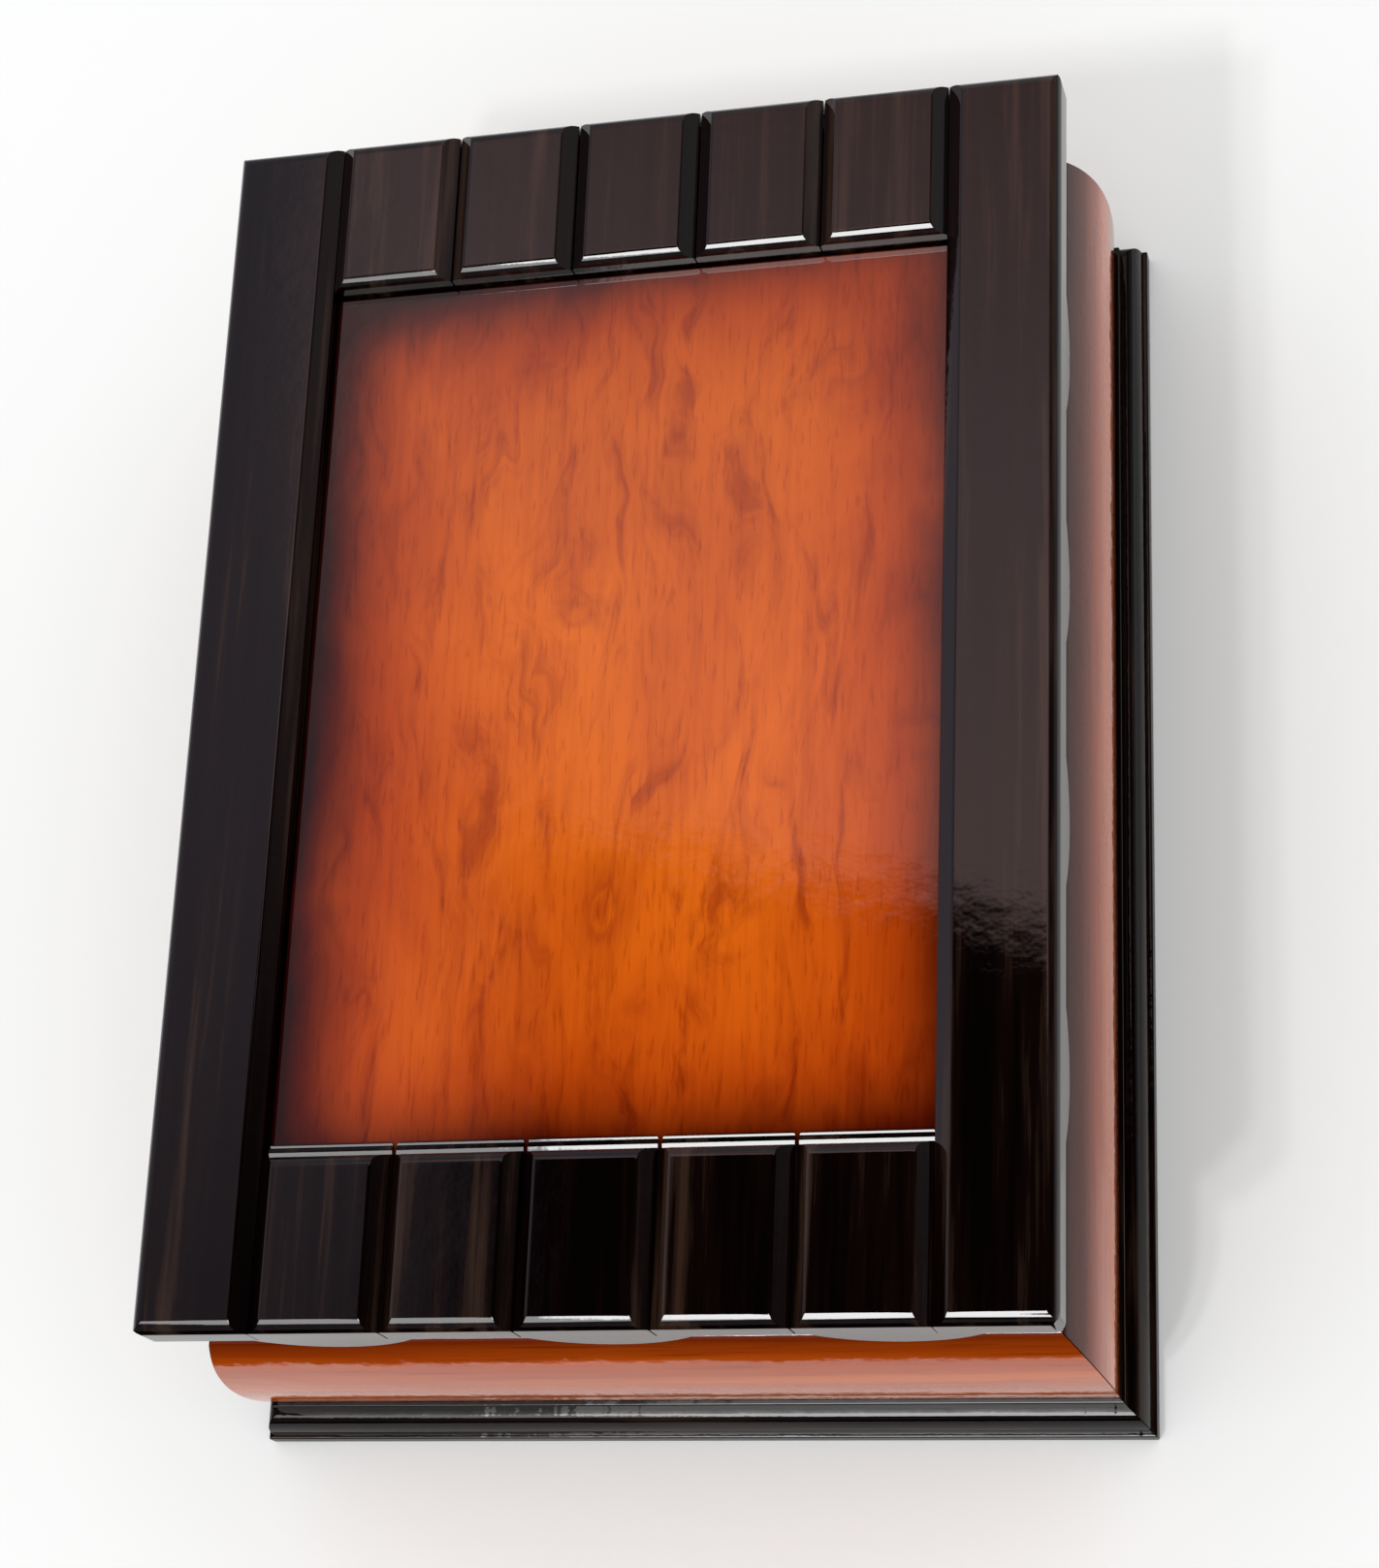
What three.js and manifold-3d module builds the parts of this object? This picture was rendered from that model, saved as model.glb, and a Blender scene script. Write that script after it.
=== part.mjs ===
// A lacquered wooden puzzle box: bowed body on a stepped base, framed lid with grooved end blocks.
// Two of the blocks slide. One hides the keyhole of the lock, the other draws out a small key drawer.
// Millimetres, +Z up, origin at the middle of the footprint on the table. The box opens at its -Y end.
import * as THREE from 'three';
import { mergeVertices } from 'three/addons/utils/BufferGeometryUtils.js';
import Module from 'manifold-3d';

const wasm = await Module();
wasm.setup();

// ---------------------------------------------------------------- driving sizes

const seam = 0.3;            // glue line or resting gap between two pieces
const mitreGap = 0.16;       // gap across a mitred corner
const slideGap = 0.3;        // running gap beside a sliding piece
const overcut = 1;           // how far a cutter runs on past what it cuts

const lid = {
  width: 150,
  length: 215,
  frameThickness: 7.2,
  edgeRadius: 3,
  cornerRadius: 1.8,
  endDepth: 28.7,            // rim to panel along Y
  blockCount: 5,
  blockPitch: 22.2,
  grooveWidth: 5,            // V between two blocks, across its top
  grooveDepth: 2,
  innerSlope: 2.2,           // sloped edge of the end blocks along the panel
  innerArris: 0.9,           // rounding where that slope meets the upright face
  arrisTurn: 60,             // degrees the rounding turns through
  recess: 4.5,
  boardThickness: 3,
  coreThickness: 8.5,
};

const apron = {
  inset: 2,                  // behind the rim
  thickness: 5,
  drop: 17,                  // lid top to the straight part of its lower edge
  lobeDrop: 24,              // lid top to the lowest point of a lobe
  lobeRadius: 18.5,
  endLobes: 3,
  endPitch: 47,
  sideLobes: 4,
  sidePitch: 42.6,
};

const wall = {
  height: 44.9,
  inset: 17,                 // lid rim to the inner face
  neckInset: 10.5,           // lid rim to the straight neck under the lid
  bulge: 1,                  // how far the belly stands past the lid rim
  bellyHeight: 8,            // belly above the wall's lower edge
  neckDrop: 6.1,             // where the bow meets the neck, below the wall's top
};

const base = {
  height: 13.2,
  overhang: 5,               // past the lid rim
  inset: 13,
  plinth: 3.2,
  ovoloTop: 9.2,
  ovoloReach: 2.4,
  step: 0.8,
};

const floorBoard = { thickness: 5 };
const felt = { thickness: 1 };

const hinge = {
  offset: 23.5,
  width: 15,
  leaf: 1,
  leafLength: 12,
  knuckleRadius: 1.9,
  pinRadius: 0.85,
  pinClearance: 0.1,
  axisFromRim: 4.5,
  middleKnuckle: 5,
};

const runner = {
  blockMargin: 1.1,          // runner inside the side of its block
  width: 3,
  length: 43.5,
};

const batten = { guideWidth: 6, bearerWidth: 8 };
const bearerPlaces = { front: -24, rear: 40 };

const drawer = {
  block: 0,                  // which front block carries it, counted from -X
  blockMargin: 1.6,          // tray inside the side of its block
  length: 75.2,
  wall: 2,
  floor: 1.3,
  pocketLength: 43,
  rimWall: 26.5,
};

const lock = {
  fromRim: 21.9,             // lid rim to the key's axis
  plugRadius: 3,
  plugClearance: 0.3,
  crankRadius: 4.2,
  crankPin: 0.9,
  throwRadius: 3,
  crankThickness: 2.1,
  pinLength: 3.4,
  slotPlay: 0.8,
  boltWidth: 12,
  boltLength: 13,
  boltThickness: 3.7,
  boltFromWall: 0.5,
  caseWidth: 26,
  caseLength: 20,
  caseHeight: 8,
  caseFloor: 1.6,
  caseBack: 2,
  caseFromWall: 0.6,
  strikeWidth: 22,
  strikeHeight: 8.5,
  strikeThickness: 0.8,
  mortiseDepth: 4.5,
  plateThickness: 0.6,
  blockMargin: 6,            // wood left behind the plug
};

const key = {
  stemRadius: 1.4,
  stemLength: 24,
  bowRoom: 1.9,              // between bow and tray wall, with the key in the middle
  bowPlay: 0.4,              // between bow and the wall it is pushed towards
  bowRing: 2.5,
  bowThickness: 2,
  bladeWidth: 4.2,
  bladeLength: 4.4,
  bladeThickness: 1.3,
  bladeRoot: 1,              // how far the blade runs into the stem
  bladePlay: 0.2,
  endRoom: 2,                // bow to the pocket's outer end
};

const arcSteps = 10;

// ---------------------------------------------------------------- worked-out places

const halfWidth = lid.width / 2;
const halfLength = lid.length / 2;
const wallBottom = base.height + seam;
const wallTop = wallBottom + wall.height;
const lidBottom = wallTop + seam;
const coreBottom = lidBottom + lid.boardThickness + seam;
const coreTop = coreBottom + lid.coreThickness;
const frameBottom = coreTop + seam;
const lidTop = frameBottom + lid.frameThickness;
const blockRow = lid.blockCount * lid.blockPitch;
const panelLength = lid.length - 2 * lid.endDepth;
const apronOuter = apron.inset;
const apronInner = apron.inset + apron.thickness;
const boardInset = apronInner + seam;
const lockY = -halfLength + lock.fromRim;
const hingeY = halfLength - hinge.axisFromRim;
const hingeZ = lidBottom - seam - hinge.leaf - seam / 2;
const innerWallY = halfLength - wall.inset;
const blockX = (index) => (index - (lid.blockCount - 1) / 2) * lid.blockPitch;

// ---------------------------------------------------------------- colours

const finishes = {
  ebony: { color: 0x1c0f0b, roughness: 0.16, metalness: 0 },
  cherry: { color: 0x9c4318, roughness: 0.18, metalness: 0 },
  bareWood: { color: 0xb98a58, roughness: 0.6, metalness: 0 },
  felt: { color: 0x5a1220, roughness: 0.95, metalness: 0 },
  brass: { color: 0xb08a45, roughness: 0.35, metalness: 0.9 },
  steel: { color: 0x8f9094, roughness: 0.4, metalness: 0.9 },
};

// ---------------------------------------------------------------- making solids

// Axes of a drawn profile: along X it is drawn as (y, z), along Y as (x, z), along Z as (x, y).
const turns = {
  x: new THREE.Matrix4().makeBasis(
    new THREE.Vector3(0, 1, 0), new THREE.Vector3(0, 0, 1), new THREE.Vector3(1, 0, 0)),
  y: new THREE.Matrix4().makeBasis(
    new THREE.Vector3(1, 0, 0), new THREE.Vector3(0, 0, 1), new THREE.Vector3(0, -1, 0)),
  z: new THREE.Matrix4(),
};

function toSolid(geometry) {
  const bare = geometry.clone();
  bare.deleteAttribute('normal');
  bare.deleteAttribute('uv');
  const merged = mergeVertices(bare, 1e-4);
  return new wasm.Manifold(new wasm.Mesh({
    numProp: 3,
    vertProperties: new Float32Array(merged.attributes.position.array),
    triVerts: new Uint32Array(merged.index.array),
  }));
}

function toGeometry(solid) {
  const { vertProperties, triVerts, numProp } = solid.getMesh();
  const geometry = new THREE.BufferGeometry();
  const points = new Float32Array((vertProperties.length / numProp) * 3);
  for (let i = 0; i < points.length / 3; i += 1) {
    for (let k = 0; k < 3; k += 1) points[3 * i + k] = vertProperties[numProp * i + k];
  }
  geometry.setAttribute('position', new THREE.BufferAttribute(points, 3));
  geometry.setIndex(new THREE.BufferAttribute(new Uint32Array(triVerts), 1));
  const flat = geometry.toNonIndexed();
  flat.computeVertexNormals();
  return flat;
}

// A profile pushed along one axis, from one coordinate to another.
function prism(axis, shape, from, to) {
  const geometry = new THREE.ExtrudeGeometry(shape, {
    depth: to - from, bevelEnabled: false, curveSegments: arcSteps,
  });
  geometry.applyMatrix4(turns[axis]);
  const shift = { x: [from, 0, 0], y: [0, to, 0], z: [0, 0, from] }[axis];
  geometry.translate(...shift);
  return toSolid(geometry);
}

function box(x0, x1, y0, y1, z0, z1) {
  return prism('z', rectangle(x0, x1, y0, y1), z0, z1);
}

function rectangle(x0, x1, y0, y1) {
  const shape = new THREE.Shape();
  shape.moveTo(x0, y0);
  shape.lineTo(x1, y0);
  shape.lineTo(x1, y1);
  shape.lineTo(x0, y1);
  shape.closePath();
  return shape;
}

function roundedRectangle(halfX, halfY, radius) {
  const shape = new THREE.Shape();
  shape.moveTo(halfX - radius, -halfY);
  shape.absarc(halfX - radius, -halfY + radius, radius, -Math.PI / 2, 0);
  shape.absarc(halfX - radius, halfY - radius, radius, 0, Math.PI / 2);
  shape.absarc(-halfX + radius, halfY - radius, radius, Math.PI / 2, Math.PI);
  shape.absarc(-halfX + radius, -halfY + radius, radius, Math.PI, 1.5 * Math.PI);
  return shape;
}

function outline(points) {
  const shape = new THREE.Shape();
  shape.moveTo(...points[0]);
  points.slice(1).forEach((point) => shape.lineTo(...point));
  shape.closePath();
  return shape;
}

function circle(u, v, radius) {
  const shape = new THREE.Shape();
  shape.absarc(u, v, radius, 0, 2 * Math.PI);
  return shape;
}

function rod(axis, u, v, radius, from, to) {
  return prism(axis, circle(u, v, radius), from, to);
}

const root = new THREE.Group();

function addPiece(group, name, finish, solid) {
  const mesh = new THREE.Mesh(toGeometry(solid), new THREE.MeshStandardMaterial(finishes[finish]));
  mesh.name = name;
  group.add(mesh);
  return mesh;
}

// ---------------------------------------------------------------- mitred strips round the box

// A strip's profile is drawn as (past the lid rim, height). Each side turns it to face outward and
// cuts both ends on the corner's diagonal.
const sides = [
  { name: 'front', span: halfWidth, reach: halfLength, turn: 0 },
  { name: 'right', span: halfLength, reach: halfWidth, turn: Math.PI / 2 },
  { name: 'rear', span: halfWidth, reach: halfLength, turn: Math.PI },
  { name: 'left', span: halfLength, reach: halfWidth, turn: 1.5 * Math.PI },
];

function mitredStrip(profile, side, outer, inner) {
  const points = profile.map(([past, z]) => [-(side.reach + past), z]).reverse();
  const long = side.span + outer;
  const strip = prism('x', outline(points), -long, long);
  const cut = mitreGap / Math.SQRT2;
  const mitre = outline([
    [-long + cut, -(side.reach + outer)],
    [long - cut, -(side.reach + outer)],
    [side.span - inner - cut, -(side.reach - inner)],
    [-side.span + inner + cut, -(side.reach - inner)],
  ]);
  const heights = profile.map((point) => point[1]);
  return strip.intersect(prism('z', mitre, Math.min(...heights) - overcut, Math.max(...heights) + overcut));
}

function turned(solid, angle) {
  return solid.rotate([0, 0, THREE.MathUtils.radToDeg(angle)]);
}

// ---------------------------------------------------------------- base moulding and floor

const body = new THREE.Group();
root.add(body);

function baseProfile() {
  const shoulder = base.overhang - base.step;
  const top = shoulder - base.ovoloReach;
  const points = [[-base.inset, 0], [base.overhang, 0]];
  points.push([base.overhang, base.plinth], [shoulder, base.plinth]);
  for (let i = 1; i <= arcSteps; i += 1) {
    const angle = (i / arcSteps) * Math.PI / 2;
    points.push([
      top + base.ovoloReach * Math.cos(angle),
      base.plinth + (base.ovoloTop - base.plinth) * Math.sin(angle),
    ]);
  }
  points.push([top - base.step, base.ovoloTop]);
  points.push([top - base.step, base.height], [-base.inset, base.height]);
  return points;
}

for (const side of sides) {
  const strip = mitredStrip(baseProfile(), side, base.overhang, base.inset);
  addPiece(body, `base_${side.name}`, 'ebony', turned(strip, side.turn));
}

const floorX = halfWidth - base.inset - seam;
const floorY = halfLength - base.inset - seam;
addPiece(body, 'floor_board', 'bareWood',
  box(-floorX, floorX, -floorY, floorY, base.height - floorBoard.thickness, base.height));
addPiece(body, 'felt_lining', 'felt', box(
  -halfWidth + wall.inset + seam, halfWidth - wall.inset - seam, -innerWallY + seam, innerWallY - seam,
  wallBottom, wallBottom + felt.thickness));

// ---------------------------------------------------------------- bowed walls

function wallProfile() {
  const bowDepth = wall.bulge + wall.neckInset;
  const bowRise = wall.height - wall.bellyHeight - wall.neckDrop;
  const bowRadius = (bowRise ** 2 + bowDepth ** 2) / (2 * bowDepth);
  const centre = wall.bulge - bowRadius;
  const belly = wallBottom + wall.bellyHeight;
  const lowest = Math.asin(-wall.bellyHeight / bowRadius);
  const highest = Math.asin(bowRise / bowRadius);
  const points = [[-wall.inset, wallBottom]];
  const steps = 2 * arcSteps;
  for (let i = 0; i <= steps; i += 1) {
    const angle = lowest + (highest - lowest) * (i / steps);
    points.push([centre + bowRadius * Math.cos(angle), belly + bowRadius * Math.sin(angle)]);
  }
  points.push([-wall.neckInset, wallTop], [-wall.inset, wallTop]);
  return points;
}

function hingeRebate(x) {
  const half = hinge.width / 2 + seam;
  const bottom = hingeZ - seam / 2 - hinge.leaf - seam;
  return box(x - half, x + half, innerWallY - overcut, halfLength, bottom, wallTop + overcut);
}

function strikePocket() {
  const strikeTop = wallTop - seam;
  const half = lock.strikeWidth / 2 + seam;
  const plate = box(-half, half, -innerWallY - lock.strikeThickness - seam, -innerWallY + overcut,
    strikeTop - lock.strikeHeight - seam, wallTop + overcut);
  const room = slideGap * 2;
  const mortise = box(-lock.boltWidth / 2 - room, lock.boltWidth / 2 + room,
    -innerWallY - lock.mortiseDepth, -innerWallY + overcut, boltBottom - room, boltTop + room);
  return plate.add(mortise);
}

const caseTop = lidBottom - seam;
const boltBottom = caseTop - lock.caseHeight + lock.caseFloor + slideGap;
const boltTop = boltBottom + lock.boltThickness;

for (const side of sides) {
  let solid = turned(mitredStrip(wallProfile(), side, wall.bulge, wall.inset), side.turn);
  if (side.name === 'rear') {
    solid = solid.subtract(hingeRebate(-hinge.offset)).subtract(hingeRebate(hinge.offset));
  }
  if (side.name === 'front') solid = solid.subtract(strikePocket());
  addPiece(body, `wall_${side.name}`, 'cherry', solid);
}

function strikePlate() {
  const top = wallTop - seam;
  const half = lock.strikeWidth / 2;
  const plate = box(-half, half, -innerWallY - lock.strikeThickness, -innerWallY,
    top - lock.strikeHeight, top);
  const window = box(-lock.boltWidth / 2 - slideGap, lock.boltWidth / 2 + slideGap,
    -innerWallY - overcut, -innerWallY + overcut, boltBottom - slideGap, boltTop + slideGap);
  return plate.subtract(window);
}

addPiece(body, 'strike_plate', 'brass', strikePlate());

// ---------------------------------------------------------------- hinges

// Leaves lie flat on each other under the lid, with the knuckle behind the body.
function hingeLeaf(x, upper) {
  const half = hinge.width / 2;
  const middle = hinge.middleKnuckle / 2;
  const low = upper ? hingeZ + seam / 2 : hingeZ - seam / 2 - hinge.leaf;
  let leaf = box(x - half, x + half, hingeY - hinge.leafLength, hingeY, low, low + hinge.leaf);
  const own = upper ? [[-middle, middle]] : [[-half, -middle - seam], [middle + seam, half]];
  const beyond = half + overcut;
  const other = upper ? [[-beyond, -middle], [middle, beyond]] : [[-middle - seam, middle + seam]];
  for (const [from, to] of other) {
    leaf = leaf.subtract(rod('x', hingeY, hingeZ, hinge.knuckleRadius + seam, x + from, x + to));
  }
  for (const [from, to] of own) {
    leaf = leaf.add(rod('x', hingeY, hingeZ, hinge.knuckleRadius, x + from, x + to));
  }
  const bore = hinge.pinRadius + hinge.pinClearance;
  return leaf.subtract(rod('x', hingeY, hingeZ, bore, x - beyond, x + beyond));
}

const lidGroup = new THREE.Group();
root.add(lidGroup);

for (const [label, x] of [['left', -hinge.offset], ['right', hinge.offset]]) {
  addPiece(body, `hinge_leaf_body_${label}`, 'brass', hingeLeaf(x, false));
  addPiece(body, `hinge_pin_${label}`, 'steel',
    rod('x', hingeY, hingeZ, hinge.pinRadius, x - hinge.width / 2 - seam, x + hinge.width / 2 + seam));
  addPiece(lidGroup, `hinge_leaf_lid_${label}`, 'brass', hingeLeaf(x, true));
}

// ---------------------------------------------------------------- lid frame

const lidPlan = prism('z', roundedRectangle(halfWidth, halfLength, lid.cornerRadius),
  frameBottom - overcut, lidTop + overcut);

// Half of the lid's edge section as (outward, up) points, from the middle out to the round-over.
function roundedEdge(reach) {
  const points = [];
  for (let i = 0; i <= arcSteps; i += 1) {
    const angle = (i / arcSteps) * Math.PI / 2;
    points.push([
      reach - lid.edgeRadius + lid.edgeRadius * Math.cos(angle),
      lidTop - lid.edgeRadius + lid.edgeRadius * Math.sin(angle),
    ]);
  }
  return points;
}

const grooveHalf = lid.grooveWidth / 2;

function railSolid() {
  const inner = blockRow / 2;
  const section = outline([
    [inner, frameBottom], [halfWidth, frameBottom], ...roundedEdge(halfWidth),
    [inner + grooveHalf, lidTop], [inner, lidTop - lid.grooveDepth],
  ]);
  const ends = roundedEdge(halfLength);
  const mirrored = ends.map(([y, z]) => [-y, z]).reverse();
  const length = outline([[-halfLength, frameBottom], [halfLength, frameBottom], ...ends, ...mirrored]);
  return prism('y', section, -halfLength, halfLength)
    .intersect(prism('x', length, 0, halfWidth))
    .intersect(lidPlan);
}

const rail = railSolid();
addPiece(lidGroup, 'lid_rail_right', 'ebony', rail);
addPiece(lidGroup, 'lid_rail_left', 'ebony', turned(rail, Math.PI));

// One end block, at the middle of the -Y row.
function blockSolid() {
  const half = (lid.blockPitch - seam) / 2;
  const section = outline([
    [-half, frameBottom], [half, frameBottom], [half, lidTop - lid.grooveDepth],
    [half - grooveHalf, lidTop], [-half + grooveHalf, lidTop], [-half, lidTop - lid.grooveDepth],
  ]);
  const inner = -halfLength + lid.endDepth;
  const edge = roundedEdge(halfLength).map(([y, z]) => [-y, z]).reverse();
  const arris = [];
  const fall = lid.grooveDepth - lid.innerArris / 2;
  const full = THREE.MathUtils.degToRad(lid.arrisTurn);
  const steps = arcSteps / 2;
  for (let i = 0; i <= steps; i += 1) {
    const angle = (i / steps) * full;
    arris.push([
      inner - lid.innerArris * (1 - Math.cos(angle)),
      lidTop - fall - lid.innerArris * (Math.sin(full) - Math.sin(angle)),
    ]);
  }
  const length = outline([
    [-halfLength, frameBottom], [inner, frameBottom], ...arris,
    [inner - lid.innerArris / 2 - lid.innerSlope, lidTop], ...edge,
  ]);
  return prism('y', section, -halfLength, inner).intersect(prism('x', length, -half, half));
}

const block = blockSolid();
for (let i = 0; i < lid.blockCount; i += 1) {
  addPiece(lidGroup, `front_block_${i + 1}`, 'ebony', block).position.x = blockX(i);
  addPiece(lidGroup, `rear_block_${i + 1}`, 'ebony', turned(block, Math.PI)).position.x = blockX(i);
}

addPiece(lidGroup, 'lid_panel', 'cherry', box(
  -blockRow / 2 + seam, blockRow / 2 - seam, -panelLength / 2 + seam, panelLength / 2 - seam,
  frameBottom, lidTop - lid.recess));

// ---------------------------------------------------------------- scalloped aprons under the rim

const blockHalf = lid.blockPitch / 2;
const runnerInner = blockHalf - runner.blockMargin - runner.width;
const keyBlockHalf = runnerInner - slideGap;
const runnerOuter = runnerInner + runner.width + slideGap;
const drawerX = blockX(drawer.block);
const drawerHalf = blockHalf - drawer.blockMargin;

function apronShape(span, lobes, pitch) {
  const straight = lidTop - apron.drop;
  const centreZ = lidTop - apron.lobeDrop + apron.lobeRadius;
  const half = Math.acos((centreZ - straight) / apron.lobeRadius);
  const shape = new THREE.Shape();
  shape.moveTo(-span, coreTop);
  shape.lineTo(-span, straight);
  for (let i = 0; i < lobes; i += 1) {
    const x = (i - (lobes - 1) / 2) * pitch;
    shape.absarc(x, centreZ, apron.lobeRadius, -Math.PI / 2 - half, -Math.PI / 2 + half);
  }
  shape.lineTo(span, straight);
  shape.lineTo(span, coreTop);
  shape.closePath();
  return shape;
}

const apronSlot = (x0, x1, bottom) => box(x0, x1, -halfLength, -halfLength + apronInner + overcut,
  bottom, coreTop + overcut);
const slideSlots = [
  apronSlot(-runnerOuter, -keyBlockHalf, coreBottom - slideGap),
  apronSlot(keyBlockHalf, runnerOuter, coreBottom - slideGap),
  apronSlot(drawerX - drawerHalf - slideGap, drawerX + drawerHalf + slideGap, coreBottom),
];

const cornerSpan = halfWidth - apronOuter;
const rearApron = prism('y', apronShape(cornerSpan, apron.endLobes, apron.endPitch),
  halfLength - apronInner, halfLength - apronOuter);
const sideApronSpan = halfLength - apronInner - seam;
const rightApron = prism('x', apronShape(sideApronSpan, apron.sideLobes, apron.sidePitch),
  halfWidth - apronInner, halfWidth - apronOuter);
let frontApron = turned(rearApron, Math.PI);
slideSlots.forEach((cut) => { frontApron = frontApron.subtract(cut); });

addPiece(lidGroup, 'apron_front', 'ebony', frontApron);
addPiece(lidGroup, 'apron_rear', 'ebony', rearApron);
addPiece(lidGroup, 'apron_right', 'ebony', rightApron);
addPiece(lidGroup, 'apron_left', 'ebony', turned(rightApron, Math.PI));

// ---------------------------------------------------------------- inside of the lid

const boardX = halfWidth - boardInset;
const boardY = halfLength - boardInset;
const plugBore = (from, to) => rod('z', 0, lockY, lock.plugRadius + lock.plugClearance, from, to);
addPiece(lidGroup, 'lid_board', 'cherry',
  box(-boardX, boardX, -boardY, boardY, lidBottom, lidBottom + lid.boardThickness)
    .subtract(plugBore(lidBottom - overcut, coreBottom)));

const panelEnd = panelLength / 2;
const core = (x0, x1, y0, y1) => box(x0, x1, y0, y1, coreBottom, coreTop);
const battenInner = blockRow / 2 - drawer.blockMargin + slideGap;
const coreInner = battenInner - seam;
addPiece(lidGroup, 'side_batten_left', 'bareWood', core(-boardX, -battenInner, -boardY, boardY));
addPiece(lidGroup, 'side_batten_right', 'bareWood', core(battenInner, boardX, -boardY, boardY));

const runnerEnd = -halfLength + apronOuter + runner.length;
const drawerRight = drawerX + drawerHalf + slideGap;
const drawerEnd = -halfLength + apronOuter + drawer.length;
addPiece(lidGroup, 'front_batten_left', 'bareWood', core(drawerRight, -runnerOuter, -boardY, runnerEnd));
addPiece(lidGroup, 'front_batten_right', 'bareWood', core(runnerOuter, coreInner, -boardY, runnerEnd));
addPiece(lidGroup, 'rear_batten', 'bareWood', core(-coreInner, coreInner, panelEnd, boardY));
addPiece(lidGroup, 'drawer_guide', 'bareWood', core(drawerRight, drawerRight + batten.guideWidth,
  runnerEnd + seam, bearerPlaces.front - batten.bearerWidth / 2 - seam));
for (const [name, y] of Object.entries(bearerPlaces)) {
  addPiece(lidGroup, `panel_bearer_${name}`, 'bareWood',
    core(-coreInner, coreInner, y - batten.bearerWidth / 2, y + batten.bearerWidth / 2));
}

// ---------------------------------------------------------------- keyhole and its sliding cover

const plateZ = coreTop - lock.plateThickness;
const keyBlockY = lockY + lock.plugRadius + lock.blockMargin;
addPiece(lidGroup, 'keyhole_block', 'bareWood',
  box(-keyBlockHalf, keyBlockHalf, -boardY, keyBlockY, coreBottom, plateZ - seam)
    .subtract(plugBore(coreBottom - overcut, coreTop)));
const plateHalf = keyBlockHalf - seam;
addPiece(lidGroup, 'keyhole_plate', 'brass',
  box(-plateHalf, plateHalf, lockY - keyBlockHalf, lockY + keyBlockHalf, plateZ, coreTop)
    .subtract(plugBore(plateZ - overcut, coreTop + overcut)));

for (const [name, sign] of [['left', -1], ['right', 1]]) {
  const near = sign * runnerInner;
  const far = sign * (runnerInner + runner.width);
  addPiece(lidGroup, `cover_runner_${name}`, 'bareWood', core(
    Math.min(near, far), Math.max(near, far), -halfLength + apronOuter, runnerEnd));
}

// ---------------------------------------------------------------- lock

function lockCase() {
  const front = -innerWallY + lock.caseFromWall;
  const half = lock.caseWidth / 2;
  const channel = lock.boltWidth / 2 + slideGap;
  const bottom = caseTop - lock.caseHeight;
  const back = front + lock.caseLength;
  return box(-half, half, front, back, bottom, caseTop).subtract(box(-channel, channel,
    front - overcut, back - lock.caseBack, bottom + lock.caseFloor, caseTop + overcut));
}

addPiece(lidGroup, 'lock_case', 'steel', lockCase());

const crankBottom = boltTop + seam;

function lockPlug() {
  const crank = rod('z', 0, lockY, lock.crankRadius, crankBottom, crankBottom + lock.crankThickness);
  const pin = rod('z', lock.throwRadius, lockY, lock.crankPin,
    crankBottom - lock.pinLength, crankBottom + overcut);
  const shaft = rod('z', 0, lockY, lock.plugRadius, crankBottom, coreTop);
  const slotHalf = key.bladeThickness / 2 + key.bladePlay;
  const slotReach = key.bladeWidth / 2 + key.bladePlay;
  const slot = box(-slotHalf, slotHalf, lockY - slotReach, lockY + slotReach,
    coreTop - key.bladeLength, coreTop + overcut);
  return shaft.add(crank).add(pin).subtract(slot);
}

addPiece(lidGroup, 'lock_plug', 'brass', lockPlug());

function lockBolt() {
  const half = lock.boltWidth / 2;
  const front = -innerWallY + lock.boltFromWall;
  const play = lock.crankPin + lock.slotPlay;
  return box(-half, half, front, front + lock.boltLength, boltBottom, boltTop).subtract(box(
    -play, lock.throwRadius + play, lockY - play, lockY + play, boltBottom - overcut, boltTop + overcut));
}

addPiece(lidGroup, 'lock_bolt', 'steel', lockBolt());

// ---------------------------------------------------------------- key drawer

const pocketOuter = -halfLength + apronOuter + drawer.rimWall;
const trayBottom = coreBottom + slideGap;
const trayInner = drawerHalf - drawer.wall;

function drawerTray() {
  const outer = -halfLength + apronOuter;
  const blank = box(drawerX - drawerHalf, drawerX + drawerHalf, outer, drawerEnd, trayBottom, coreTop);
  return blank.subtract(box(drawerX - trayInner, drawerX + trayInner,
    pocketOuter, pocketOuter + drawer.pocketLength, trayBottom + drawer.floor, coreTop + overcut));
}

addPiece(lidGroup, 'key_drawer_tray', 'bareWood', drawerTray());

// The key lies on the drawer's floor with its bow towards the block.
const bowRadius = trayInner - key.bowRoom;

function keySolid() {
  const bow = prism('z', circle(0, 0, bowRadius), -key.bowThickness / 2, key.bowThickness / 2)
    .subtract(prism('z', circle(0, 0, bowRadius - key.bowRing), -key.bowThickness, key.bowThickness));
  const tip = -bowRadius - key.stemLength;
  const stem = rod('y', 0, 0, key.stemRadius, tip + key.bladeLength, -bowRadius + key.bowRing / 2);
  const blade = box(-key.bladeWidth / 2, key.bladeWidth / 2, tip, tip + key.bladeLength + key.bladeRoot,
    -key.bladeThickness / 2, key.bladeThickness / 2);
  return bow.add(stem).add(blade);
}

const keyMesh = addPiece(lidGroup, 'key', 'brass', turned(keySolid(), Math.PI));
keyMesh.position.set(drawerX - key.bowRoom + key.bowPlay, pocketOuter + bowRadius + key.endRoom,
  trayBottom + drawer.floor + seam + key.stemRadius);

export default root;
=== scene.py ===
import math

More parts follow.
